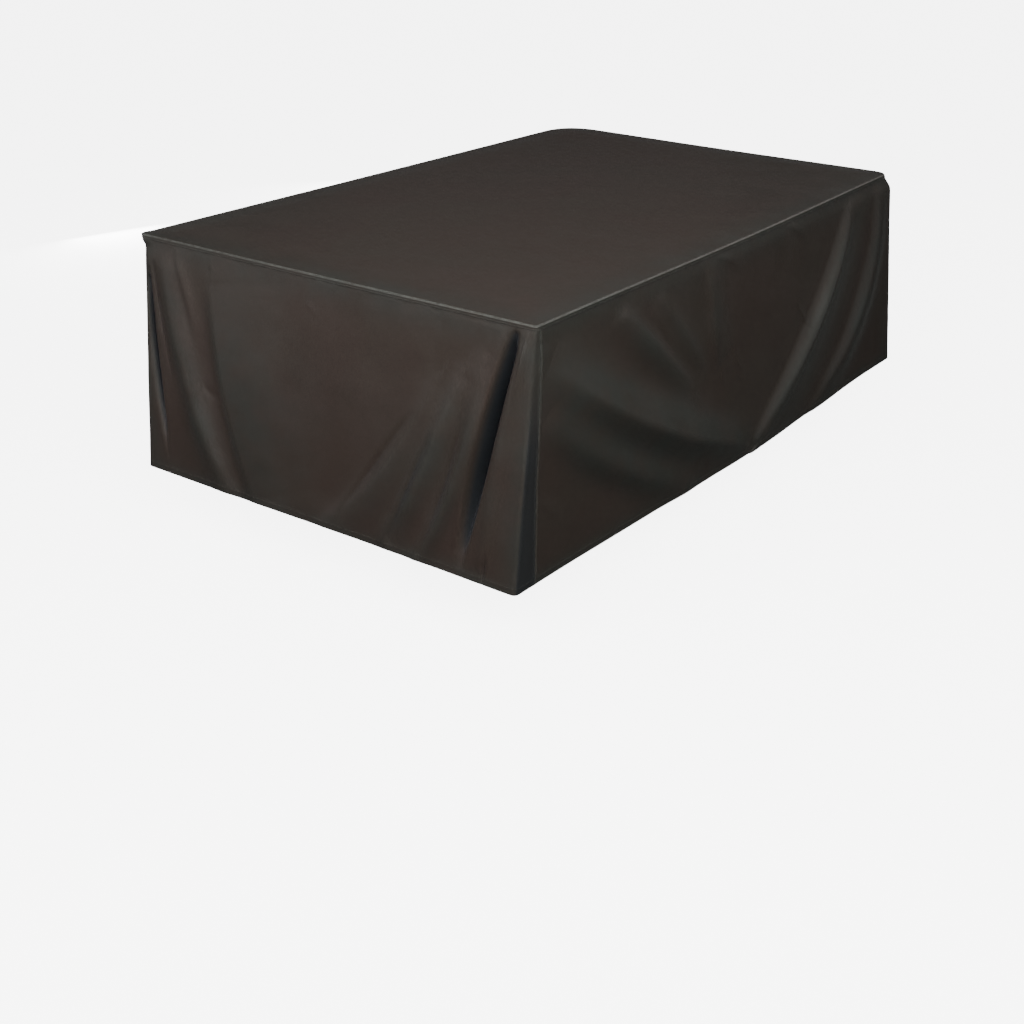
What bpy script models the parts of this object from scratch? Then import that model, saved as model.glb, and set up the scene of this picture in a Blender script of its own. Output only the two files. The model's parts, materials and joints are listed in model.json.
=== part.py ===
"""Patio furniture cover: a fitted, box-shaped cover of coated cloth, hollow and open underneath.

Five cut panels hang as one box: a flat top whose rim is turned down as a narrow welt, and four side
panels that fall from it in folds and flare out towards the hem. Metres, +Z up. The origin is on the
underside of the top, at its centre, where the furniture under the cover holds it up. +X runs along the
long side and the near corner is at -X, -Y.

Every panel is worked out in a plain box of LENGTH x WIDTH x DROP first. There a side point is given by
the side it is on, its distance along that side and its depth below the top. The folds move it along the
side's outward normal, and one warp then carries the whole box to the uneven shape in which it hangs.
"""

from collections import namedtuple

import bmesh
import bpy
import numpy as np

# Driving dimensions of the cover, in metres.
LENGTH = 2.130
WIDTH = 1.360
DROP = 0.690
CLOTH = 0.002
WELT = 0.009
SEAM_GAP = 0.0005
UPRIGHT_SEAM_GAP = 0.0010

# How the top lies: it falls a little towards its edges, and each edge sags between its corners.
EDGE_FALL = 0.004
EDGE_FALL_WIDTH = 0.110
RIM_HEIGHT = CLOTH - EDGE_FALL
EAR_REACH = 0.016
EAR_RISE = 0.004
EAR_SPREAD = 0.026
EAR_CORNER = "left"

# Folds fade out over these widths: below the welt, and beside each corner. Near the hem a fold draws the
# cloth up by a part of its height. The shoulders reach their full width at SHOULDER_DEPTH.
FADE_BELOW_WELT = 0.075
FADE_AT_CORNER = 0.030
ROUTE_STEPS = 24
HEM_LIFT = 0.5
HEM_LIFT_HEIGHT = 0.200
SHOULDER_DEPTH = 0.055

# The four corners, in order round the box. x_side and y_side say which corner of the box it is. The top_
# and hem_ columns say how far the real corner lies from the box's, and the shoulder_ columns how much
# further out the cloth stands just below the top. The radii round the plan. The seam columns say how far
# past the corner, going round, the upright seam runs at the top and at the hem.
Corner = namedtuple(
    "Corner",
    "name x_side y_side top_x top_y top_z hem_x hem_y hem_z shoulder_x shoulder_y"
    " top_radius hem_radius seam_top seam_hem",
)
CORNERS = (
    Corner(
        "near", -1, -1, 0.006, -0.010, 0.000, -0.050, 0.009, 0.001, 0.000, 0.000,
        top_radius=0.012, hem_radius=0.016, seam_top=0.014, seam_hem=0.075,
    ),
    Corner(
        "right", 1, -1, -0.007, 0.007, -0.012, 0.066, -0.056, 0.002, 0.022, -0.014,
        top_radius=0.055, hem_radius=0.025, seam_top=0.060, seam_hem=0.034,
    ),
    Corner(
        "back", 1, 1, 0.004, -0.003, 0.006, 0.050, 0.030, 0.000, 0.012, 0.012,
        top_radius=0.150, hem_radius=0.080, seam_top=0.155, seam_hem=0.086,
    ),
    Corner(
        "left", -1, 1, 0.004, 0.002, 0.008, -0.059, 0.024, -0.003, 0.000, 0.000,
        top_radius=0.032, hem_radius=0.018, seam_top=-0.036, seam_hem=-0.026,
    ),
)

# The four sides, each running from the corner of its own number to the next one. run_x and run_y give the
# direction. edge_sag lowers the middle of its top edge, and belly pushes the middle of its hem outwards.
Side = namedtuple("Side", "name length run_x run_y edge_sag belly depth_rows")
SIDES = (
    Side("front_panel", LENGTH, 1, 0, 0.006, 0.014, 18),
    Side("right_end_panel", WIDTH, 0, 1, 0.002, 0.010, 10),
    Side("rear_panel", LENGTH, -1, 0, 0.001, 0.014, 10),
    Side("left_end_panel", WIDTH, 0, -1, 0.001, -0.007, 16),
)
FRONT, RIGHT_END, REAR, LEFT_END = range(len(SIDES))

# The folds of each side. A fold's crest runs through its start, middle and end, given as the distance
# along the side and the depth below the top. The three heights are how far it stands out there, and a
# groove's are negative. Every crest runs downwards. The widths say how quickly the fold falls away from
# its crest, towards the side's first corner and towards its last one.
Fold = namedtuple(
    "Fold",
    "side start_along start_depth mid_along mid_depth end_along end_depth"
    " start_height mid_height end_height first_width last_width",
)
FOLDS = (
    # Front: the swag between the near and the right corner, one long ridge and one beside it at each end.
    Fold(FRONT, 0.05, 0.11, 0.50, 0.39, 1.09, 0.66, 0.018, 0.050, 0.010, 0.062, 0.072),
    Fold(FRONT, 0.06, 0.235, 0.33, 0.44, 0.74, 0.67, 0.010, 0.028, 0.010, 0.045, 0.056),
    Fold(FRONT, 1.74, 0.06, 1.50, 0.36, 1.13, 0.66, 0.014, 0.036, 0.010, 0.034, 0.120),
    Fold(FRONT, 1.99, 0.05, 1.86, 0.40, 1.52, 0.68, 0.010, 0.026, 0.008, 0.034, 0.080),
    # Front: the short folds that fan out below its top edge.
    Fold(FRONT, 0.39, 0.075, 0.56, 0.215, 0.75, 0.37, 0.010, 0.020, 0.004, 0.048, 0.030),
    Fold(FRONT, 0.57, 0.08, 0.69, 0.20, 0.80, 0.32, 0.005, 0.011, 0.003, 0.035, 0.030),
    Fold(FRONT, 0.82, 0.05, 0.855, 0.20, 0.90, 0.34, 0.004, 0.012, 0.002, 0.025, 0.065),
    # Left end: the deep pleat beside the near corner and the folds that fan out from it.
    Fold(LEFT_END, 1.30, 0.04, 1.243, 0.30, 1.18, 0.64, -0.010, -0.030, -0.002, 0.016, 0.016),
    Fold(LEFT_END, 1.33, 0.06, 1.285, 0.30, 1.25, 0.62, 0.004, 0.010, 0.003, 0.022, 0.022),
    Fold(LEFT_END, 1.215, 0.12, 1.17, 0.40, 1.045, 0.69, 0.003, 0.019, 0.009, 0.028, 0.026),
    Fold(LEFT_END, 1.16, 0.16, 1.06, 0.42, 0.935, 0.66, 0.003, 0.020, 0.008, 0.028, 0.040),
    Fold(LEFT_END, 1.08, 0.20, 0.925, 0.47, 0.72, 0.68, 0.002, 0.011, 0.006, 0.030, 0.070),
    # Left end: the broad ridge that runs down from the left corner, and the hollows round it.
    Fold(LEFT_END, 0.10, 0.03, 0.18, 0.33, 0.34, 0.68, 0.006, 0.026, 0.010, 0.046, 0.054),
    Fold(LEFT_END, 0.22, 0.42, 0.27, 0.54, 0.35, 0.67, 0.002, 0.010, 0.008, 0.080, 0.028),
    Fold(LEFT_END, 0.29, 0.09, 0.355, 0.38, 0.46, 0.68, 0.004, 0.022, 0.012, 0.034, 0.220),
    Fold(LEFT_END, 0.020, 0.10, 0.045, 0.35, 0.085, 0.58, -0.007, -0.015, -0.001, 0.013, 0.013),
    # Right end: two quiet folds from its corners and a shallow hollow between them.
    Fold(RIGHT_END, 0.12, 0.06, 0.22, 0.30, 0.46, 0.66, 0.006, 0.016, 0.005, 0.050, 0.085),
    Fold(RIGHT_END, 1.22, 0.08, 1.12, 0.34, 0.90, 0.66, 0.006, 0.014, 0.005, 0.085, 0.050),
    Fold(RIGHT_END, 0.60, 0.10, 0.68, 0.34, 0.74, 0.64, 0.000, -0.008, -0.004, 0.100, 0.100),
    # Rear: a flatter swag, with a fold in from each corner.
    Fold(REAR, 0.14, 0.08, 0.52, 0.38, 1.02, 0.66, 0.008, 0.022, 0.006, 0.095, 0.070),
    Fold(REAR, 1.98, 0.08, 1.70, 0.36, 1.20, 0.66, 0.008, 0.022, 0.006, 0.070, 0.095),
    Fold(REAR, 0.10, 0.30, 0.26, 0.50, 0.52, 0.67, 0.004, 0.014, 0.005, 0.065, 0.080),
    Fold(REAR, 1.04, 0.05, 1.02, 0.20, 1.06, 0.40, 0.002, 0.007, 0.002, 0.060, 0.050),
)

# Where each side's columns of faces run, from the top to the hem, along the side's folds: a guide line's
# distance along the side at the top and at the hem, and the columns between it and the guide before.
Guide = namedtuple("Guide", "side top_along hem_along columns")
GUIDES = (
    Guide(FRONT, 0.030, 0.094, 1),
    Guide(FRONT, LENGTH, LENGTH, 69),
    Guide(RIGHT_END, WIDTH, WIDTH, 26),
    Guide(REAR, LENGTH, LENGTH, 36),
    Guide(LEFT_END, 0.048, 0.080, 2),
    Guide(LEFT_END, 0.070, 0.110, 2),
    Guide(LEFT_END, 0.130, 0.370, 6),
    Guide(LEFT_END, 0.280, 0.480, 5),
    Guide(LEFT_END, 1.060, 0.720, 8),
    Guide(LEFT_END, 1.235, 1.030, 9),
    Guide(LEFT_END, 1.276, 1.135, 4),
    Guide(LEFT_END, 1.315, 1.165, 4),
    Guide(LEFT_END, WIDTH, WIDTH, 4),
)
CORNER_COLUMNS = 4
WRAP_COLUMNS = 3
TOP_COLUMNS = 16
TOP_ROWS = 10
TOP_EDGE_LINES = (0.000, 0.004, 0.012, 0.028, 0.055, 0.110)
LEAST_RADIUS = 0.000001

# The finish: coated cloth, nearly black, with a crisp edge where the top turns down.
SHARP_ANGLE = np.radians(50.0)
CLOTH_COLOUR = (0.034, 0.027, 0.024, 1.0)
CLOTH_ROUGHNESS = 0.42


def smooth_step(value):
    """0 below 0, 1 above 1, and an S-shaped rise between."""
    part = np.clip(value, 0.0, 1.0)
    return part * part * (3.0 - 2.0 * part)


def rounded_ramp(distance, radius):
    """0 before a corner and the distance past it, with a parabola of that radius between the two."""
    ramp = np.maximum(distance, 0.0)
    return np.where(np.abs(distance) < radius, (distance + radius) ** 2 / (4.0 * radius), ramp)


def between(first, last, part):
    """The value that far on the way from the first to the last."""
    return first + (last - first) * part


def corner_radius(corner, part):
    """A corner's plan radius, that far down from the top to the hem."""
    return between(corner.top_radius, corner.hem_radius, part)


def warp(points):
    """Carries the plain box to the shape in which it hangs: each corner moves by its own offset, and
    what lies between moves by the corners' offsets in proportion."""
    east = points[:, 0] / LENGTH + 0.5
    north = points[:, 1] / WIDTH + 0.5
    down = np.maximum(-points[:, 2], 0.0) / DROP
    out_at_shoulder = smooth_step(down * DROP / SHOULDER_DEPTH) * (1.0 - down)
    moved = points.copy()
    for corner in CORNERS:
        share_x = east if corner.x_side > 0 else 1.0 - east
        share_y = north if corner.y_side > 0 else 1.0 - north
        share = share_x * share_y
        top = np.array((corner.top_x, corner.top_y, corner.top_z))
        hem = np.array((corner.hem_x, corner.hem_y, corner.hem_z))
        shoulder = np.array((corner.shoulder_x, corner.shoulder_y, 0.0))
        offset = between(top, hem, down[:, None]) + shoulder * out_at_shoulder[:, None]
        moved += share[:, None] * offset
    moved[:, 2] += RIM_HEIGHT
    return moved


def edge_sag(points):
    """How far the cloth sags at each point of the plain box: most at the middle of a top edge and all
    the way down below it, and nothing at the centre of the top."""
    east = points[:, 0] / LENGTH + 0.5
    north = points[:, 1] / WIDTH + 0.5
    along = {FRONT: east, RIGHT_END: north, REAR: 1.0 - east, LEFT_END: 1.0 - north}
    beside = {FRONT: 1.0 - north, RIGHT_END: east, REAR: north, LEFT_END: 1.0 - east}
    sag = np.zeros(len(points))
    for number, side in enumerate(SIDES):
        middle = np.sin(np.pi * np.clip(along[number], 0.0, 1.0)) ** 2
        sag += side.edge_sag * middle * np.clip(2.0 * beside[number] - 1.0, 0.0, 1.0) ** 2
    return sag


def fold_route(fold):
    """Points along a fold's crest, on the parabola through its start, middle and end, with its height."""
    step = np.linspace(0.0, 1.0, ROUTE_STEPS + 1)
    weights = ((1 - step) * (1 - 2 * step), 4 * step * (1 - step), step * (2 * step - 1))
    rows = (
        (fold.start_along, fold.mid_along, fold.end_along),
        (fold.start_depth, fold.mid_depth, fold.end_depth),
        (fold.start_height, fold.mid_height, fold.end_height),
    )
    return [sum(weight * value for weight, value in zip(weights, row)) for row in rows]


def fold_height(fold, along, depth):
    """How far one fold stands out at each point: its crest's nearest height, less with the distance."""
    route_along, route_depth, route_height = fold_route(fold)
    from_along, from_depth = along[:, None] - route_along[:-1], depth[:, None] - route_depth[:-1]
    run_along, run_depth = np.diff(route_along), np.diff(route_depth)
    length_squared = run_along**2 + run_depth**2
    part = np.clip((from_along * run_along + from_depth * run_depth) / length_squared, 0.0, 1.0)
    off_along, off_depth = from_along - part * run_along, from_depth - part * run_depth
    distance = np.hypot(off_along, off_depth)
    nearest = np.argmin(distance, axis=1)
    rows = np.arange(len(along))
    height = route_height[nearest] + part[rows, nearest] * np.diff(route_height)[nearest]
    cross = run_along[nearest] * off_depth[rows, nearest] - run_depth[nearest] * off_along[rows, nearest]
    width = np.where(cross > 0.0, fold.first_width, fold.last_width)
    return height * np.exp(-((distance[rows, nearest] / width) ** 2))


def folds_height(number, along, depth):
    """How far all the folds of a side stand out together. They fade beside its corners and its welt."""
    height = sum(fold_height(fold, along, depth) for fold in FOLDS if fold.side == number)
    to_corner = np.minimum(along, SIDES[number].length - along)
    return height * smooth_step(to_corner / FADE_AT_CORNER) * smooth_step((depth - WELT) / FADE_BELOW_WELT)


def belly_height(number, along, depth):
    """How far a side's cloth stands out as a whole, most at the middle of its hem."""
    side = SIDES[number]
    middle = np.sin(np.pi * np.clip(along / side.length, 0.0, 1.0)) ** 2
    return side.belly * middle * smooth_step(depth / DROP)


def around_corners(height_of, number, along, depth):
    """A height at distances along a side, taken from the side before or after it past its corners."""
    previous, following = (number - 1) % len(SIDES), (number + 1) % len(SIDES)
    length = SIDES[number].length
    height = np.where(
        along < 0.0,
        height_of(previous, along + SIDES[previous].length, depth),
        height_of(number, along, depth),
    )
    return np.where(along > length, height_of(following, along - length, depth), height)


def ring_point(number, along, depth):
    """The plain box's side surface and its outward direction, at a distance along a side. A distance
    below 0 or past the side's end turns the corner on to the side before or after it."""
    part = depth / DROP
    start, end = CORNERS[number], CORNERS[(number + 1) % len(CORNERS)]
    start_radius, end_radius = corner_radius(start, part), corner_radius(end, part)
    side = SIDES[number]
    direction, outward_here = np.array((side.run_x, side.run_y)), np.array((side.run_y, -side.run_x))
    origin = np.array((start.x_side * LENGTH / 2, start.y_side * WIDTH / 2))
    beyond = along - side.length
    back = rounded_ramp(-along, start_radius)
    ahead = rounded_ramp(beyond, end_radius)
    forward = rounded_ramp(along, start_radius) - ahead
    plan = origin + forward[:, None] * direction - (back + ahead)[:, None] * outward_here
    turn = np.pi / 2 * (
        smooth_step(0.5 + beyond / (2 * end_radius)) - smooth_step(0.5 - along / (2 * start_radius))
    )
    return plan, np.cos(turn)[:, None] * outward_here + np.sin(turn)[:, None] * direction


def side_surface(number, along, depth):
    """Where a side panel's outer face hangs, at distances along its side and depths below the top."""
    plan, outward = ring_point(number, along, depth)
    folds = around_corners(folds_height, number, along, depth)
    belly = around_corners(belly_height, number, along, depth)
    lift = HEM_LIFT * folds * smooth_step((depth - DROP + HEM_LIFT_HEIGHT) / HEM_LIFT_HEIGHT)
    points = np.column_stack((plan, -depth))
    points[:, 2] += lift - edge_sag(points)
    points[:, :2] += (folds + belly)[:, None] * outward
    return warp(points)


def main_columns(number, first, last, part):
    """Distances along a side of the columns between its corners, that far down from the top to the hem:
    even between each guide line and the next, and stretched to reach from the first to the last."""
    guides = [guide for guide in GUIDES if guide.side == number]
    places, previous = [0.0], 0.0
    for guide in guides:
        place = between(guide.top_along, guide.hem_along, part)
        places += list(np.linspace(previous, place, guide.columns + 1)[1:])
        previous = place
    return between(first, last, np.array(places) / previous)


def side_columns(number, part):
    """The distances along a side of its panel's columns, that far down from the top to the hem. They
    run from the seam at its first corner to the seam at its last one, and close up round the corners."""
    start, end = CORNERS[number], CORNERS[(number + 1) % len(CORNERS)]
    length = SIDES[number].length
    first = between(start.seam_top, start.seam_hem, part) + UPRIGHT_SEAM_GAP / 2
    last = length + between(end.seam_top, end.seam_hem, part) - UPRIGHT_SEAM_GAP / 2
    start_radius, end_radius = corner_radius(start, part), corner_radius(end, part)
    before, after = [], []
    main_first, main_last = first, last
    if start.seam_top < 0:
        main_first = start_radius
        before += list(np.linspace(first, -start_radius, WRAP_COLUMNS)[:-1])
        before += list(np.linspace(-start_radius, start_radius, CORNER_COLUMNS + 1)[:-1])
    if end.seam_top > 0:
        main_last = length - end_radius
        after += list(np.linspace(main_last, length + end_radius, CORNER_COLUMNS + 1)[1:])
        after += list(np.linspace(length + end_radius, last, WRAP_COLUMNS)[1:])
    return np.array(before + list(main_columns(number, main_first, main_last, part)) + after)


def cloth_material(name):
    """The coated cloth of one panel."""
    material = bpy.data.materials.new(name + "_cloth")
    material.use_nodes = True
    shader = material.node_tree.nodes["Principled BSDF"]
    shader.inputs["Base Color"].default_value = CLOTH_COLOUR
    shader.inputs["Roughness"].default_value = CLOTH_ROUGHNESS
    shader.inputs["Metallic"].default_value = 0.0
    return material


def shaped_grid(points, rows, columns):
    """A sheet of quads through a grid of points that are given row by row."""
    sheet = bmesh.new()
    bmesh.ops.create_grid(sheet, x_segments=columns - 1, y_segments=rows - 1, size=1.0)
    for vertex, point in zip(sheet.verts, points):
        vertex.co = point
    return sheet


def cloth_object(name, sheet, collection):
    """A named panel from a sheet, thickened inwards to the cloth's thickness."""
    mesh = bpy.data.meshes.new(name)
    sheet.normal_update()
    sheet.to_mesh(mesh)
    sheet.free()
    mesh.shade_smooth()
    mesh.set_sharp_from_angle(angle=SHARP_ANGLE)
    mesh.materials.append(cloth_material(name))
    panel = bpy.data.objects.new(name, mesh)
    collection.objects.link(panel)
    thicken = panel.modifiers.new("cloth", "SOLIDIFY")
    thicken.thickness = CLOTH
    thicken.offset = -1.0
    thicken.use_even_offset = True
    return panel


def side_panel(number, collection):
    """One side panel, from its hem up to just below the welt."""
    depths = np.linspace(DROP, WELT + SEAM_GAP, SIDES[number].depth_rows + 1)
    along = np.array([side_columns(number, depth / DROP) for depth in depths])
    rows, columns = along.shape
    points = side_surface(number, along.ravel(), np.repeat(depths, columns))
    return cloth_object(SIDES[number].name, shaped_grid(points, rows, columns), collection)


def top_lines(length, count):
    """Distances across the top from one edge: lines close to both edges and even ones between."""
    middle = np.linspace(TOP_EDGE_LINES[-1], length - TOP_EDGE_LINES[-1], count)[1:-1]
    near = np.array(TOP_EDGE_LINES)
    return np.concatenate((near, middle, (length - near)[::-1]))


def top_panel(collection):
    """The top, flat with a slight fall to its edges and corners rounded as the sides' corners are, and
    its rim turned down as the welt of the seam."""
    x_lines, y_lines = top_lines(LENGTH, TOP_COLUMNS), top_lines(WIDTH, TOP_ROWS)
    x_grid, y_grid = np.meshgrid(x_lines, y_lines)
    x_flat, y_flat = x_grid.ravel(), y_grid.ravel()
    x_side, y_side = np.where(x_flat * 2 < LENGTH, -1, 1), np.where(y_flat * 2 < WIDTH, -1, 1)
    from_x, from_y = np.minimum(x_flat, LENGTH - x_flat), np.minimum(y_flat, WIDTH - y_flat)
    inside = np.minimum(from_x, from_y)
    radius = sum(
        corner.top_radius * ((x_side == corner.x_side) & (y_side == corner.y_side)) for corner in CORNERS
    )
    radius = radius * (1.0 - smooth_step(inside / TOP_EDGE_LINES[-1])) + LEAST_RADIUS
    off_x = inside + rounded_ramp(from_x - from_y, radius)
    off_y = inside + rounded_ramp(from_y - from_x, radius)
    height = EDGE_FALL * smooth_step(inside / EDGE_FALL_WIDTH)
    points = np.column_stack((x_side * (LENGTH / 2 - off_x), y_side * (WIDTH / 2 - off_y), height))
    points[:, 2] -= edge_sag(points)
    points = warp(points)
    lift_ear(points)
    sheet = shaped_grid(points, len(y_lines), len(x_lines))
    rim = [edge for edge in sheet.edges if edge.is_boundary]
    turned = bmesh.ops.extrude_edge_only(sheet, edges=rim)["geom"]
    for vertex in turned:
        if isinstance(vertex, bmesh.types.BMVert):
            vertex.co.z -= WELT
    return cloth_object("top_panel", sheet, collection)


def lift_ear(points):
    """Pulls the point of one corner out and up, where the seam allowances stick out as a small ear."""
    corner = next(row for row in CORNERS if row.name == EAR_CORNER)
    tip = np.array((corner.x_side * LENGTH / 2 + corner.top_x, corner.y_side * WIDTH / 2 + corner.top_y))
    distance = np.hypot(points[:, 0] - tip[0], points[:, 1] - tip[1])
    share = np.exp(-((distance / EAR_SPREAD) ** 2))
    points[:, 0] += corner.x_side * EAR_REACH * share
    points[:, 2] += EAR_RISE * share


def main():
    """Clears the scene and builds the five panels."""
    for old in list(bpy.data.objects):
        bpy.data.objects.remove(old, do_unlink=True)
    collection = bpy.data.collections.new("patio_furniture_cover")
    bpy.context.scene.collection.children.link(collection)
    top_panel(collection)
    for number in range(len(SIDES)):
        side_panel(number, collection)


main()
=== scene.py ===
"""Patio furniture cover of coated cloth: its finished look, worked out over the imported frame.

The cover is five cut panels sewn into a box: a top whose seam is turned down as a stitched welt, and four
sides that hang in swags, short folds and one deep pleat. Each panel is one thin sheet, worked out with
numpy on a grid of two parameters, and the sewing is laid along the seams as separate threads. Everything
is in metres, in the frame's own axes, with +Z up.
"""

import json
import logging
from collections.abc import Callable
from dataclasses import dataclass, field
from enum import Enum

import bpy
import numpy as np
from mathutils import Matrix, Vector

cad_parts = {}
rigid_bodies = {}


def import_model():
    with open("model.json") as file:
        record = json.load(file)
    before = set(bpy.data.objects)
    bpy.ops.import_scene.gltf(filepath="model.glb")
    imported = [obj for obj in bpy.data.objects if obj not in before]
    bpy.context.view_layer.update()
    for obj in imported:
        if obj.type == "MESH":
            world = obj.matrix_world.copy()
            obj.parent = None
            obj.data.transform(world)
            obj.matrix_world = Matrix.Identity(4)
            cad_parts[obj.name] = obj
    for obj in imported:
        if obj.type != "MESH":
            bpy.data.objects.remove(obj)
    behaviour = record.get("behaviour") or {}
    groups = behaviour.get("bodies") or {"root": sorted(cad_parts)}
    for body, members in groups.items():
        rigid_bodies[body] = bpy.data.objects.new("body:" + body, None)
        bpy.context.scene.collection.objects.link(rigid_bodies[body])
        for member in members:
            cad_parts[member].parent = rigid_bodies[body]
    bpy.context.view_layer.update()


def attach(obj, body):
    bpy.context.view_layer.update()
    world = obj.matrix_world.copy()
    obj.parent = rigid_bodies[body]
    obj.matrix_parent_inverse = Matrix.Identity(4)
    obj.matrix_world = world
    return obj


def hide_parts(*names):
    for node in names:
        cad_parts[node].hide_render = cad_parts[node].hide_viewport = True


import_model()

Array = np.ndarray
Colour = tuple[float, float, float, float]
Socket = bpy.types.NodeSocket
log = logging.getLogger("cover")

MILLIMETRE = 0.001
# A fold's bell is taken as nothing past this many of its widths.
BELL_REACH = 3.2


class Side(Enum):
    """The four sides, numbered in order round the box."""

    FRONT = 0
    RIGHT_END = 1
    REAR = 2
    LEFT_END = 3

    @property
    def following(self) -> "Side":
        """The side that comes after this one."""
        return Side((self.value + 1) % len(Side))

    @property
    def previous(self) -> "Side":
        """The side that comes before this one."""
        return Side((self.value - 1) % len(Side))


@dataclass(frozen=True)
class Corner:
    """How one corner of the plain box is carried to its real place, and how its cloth turns there.

    top and hem are how far the real corner lies from the plain box's, shoulder is how much further out the
    cloth stands just below the top, the radii round the plan, and the seam values say how far past the
    corner, going round, the upright seam runs at the top and at the hem.
    """

    x_side: int
    y_side: int
    top: tuple[float, float, float]
    hem: tuple[float, float, float]
    shoulder: tuple[float, float]
    top_radius: float
    hem_radius: float
    seam_top: float
    seam_hem: float

    def radius(self, part: Array) -> Array:
        """The plan radius, that far down from the top to the hem."""
        return between(self.top_radius, self.hem_radius, part)

    def seam(self, part: Array) -> Array:
        """How far past the corner the upright seam runs, that far down."""
        return between(self.seam_top, self.seam_hem, part)


@dataclass(frozen=True)
class Run:
    """One side's length and direction, the sag of its top edge and the belly at the middle of its hem."""

    length: float
    direction: tuple[int, int]
    edge_sag: float
    belly: float

    @property
    def outward(self) -> tuple[int, int]:
        """The side's outward direction in plan."""
        return (self.direction[1], -self.direction[0])


@dataclass(frozen=True)
class Fold:
    """A soft ridge, or a trough where its heights are negative, whose crest is a parabola through three
    places given as distances along the side and depths below the top. The widths say how quickly it falls
    away towards the side's first corner and towards its last one."""

    along: tuple[float, float, float]
    depth: tuple[float, float, float]
    height: tuple[float, float, float]
    first_width: float
    last_width: float

    def route(self, steps: int) -> list[Array]:
        """Reads the crest at even steps of its parabola.

        Args:
            steps: how many steps there are.

        Returns:
            The crest's distances along, its depths and its heights.
        """
        step = np.linspace(0.0, 1.0, steps + 1)
        weights = ((1 - step) * (1 - 2 * step), 4 * step * (1 - step), step * (2 * step - 1))
        return [sum(w * v for w, v in zip(weights, row)) for row in (self.along, self.depth, self.height)]

    def relief(self, along: Array, depth: Array, steps: int = 24) -> Array:
        """How far the fold stands out: the height of the nearest place on its crest, times a bell of the
        distance from it, exp(-(distance / width) squared).

        Args:
            along: distances along the side.
            depth: depths below the top.
            steps: straight pieces that the crest is read as.

        Returns:
            The height at each point.
        """
        crest_along, crest_depth, crest_height = self.route(steps)
        height = np.zeros(len(along))
        reach = BELL_REACH * max(self.first_width, self.last_width)
        close = (along > crest_along.min() - reach) & (along < crest_along.max() + reach)
        close &= (depth > crest_depth.min() - reach) & (depth < crest_depth.max() + reach)
        u, v = along[close], depth[close]
        from_u, from_v = u[:, None] - crest_along[:-1], v[:, None] - crest_depth[:-1]
        run_u, run_v = np.diff(crest_along), np.diff(crest_depth)
        part = np.clip((from_u * run_u + from_v * run_v) / (run_u**2 + run_v**2), 0.0, 1.0)
        off_u, off_v = from_u - part * run_u, from_v - part * run_v
        distance = np.hypot(off_u, off_v)
        nearest = np.argmin(distance, axis=1)
        rows = np.arange(len(u))
        crest = crest_height[nearest] + part[rows, nearest] * np.diff(crest_height)[nearest]
        cross = run_u[nearest] * off_v[rows, nearest] - run_v[nearest] * off_u[rows, nearest]
        width = np.where(cross > 0.0, self.first_width, self.last_width)
        height[close] = crest * np.exp(-((distance[rows, nearest] / width) ** 2))
        return height


CORNERS = (
    Corner(-1, -1, (0.006, -0.010, 0.0), (-0.050, 0.009, 0.001), (0.0, 0.0), 0.012, 0.016, 0.014, 0.075),
    Corner(
        1, -1, (-0.007, 0.007, -0.012), (0.066, -0.056, 0.002), (0.022, -0.014), 0.055, 0.025, 0.060, 0.034
    ),
    Corner(1, 1, (0.004, -0.003, 0.006), (0.050, 0.030, 0.0), (0.012, 0.012), 0.150, 0.080, 0.155, 0.086),
    Corner(-1, 1, (0.004, 0.002, 0.008), (-0.059, 0.024, -0.003), (0.0, 0.0), 0.032, 0.018, -0.036, -0.026),
)
EAR_CORNER = CORNERS[3]

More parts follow.
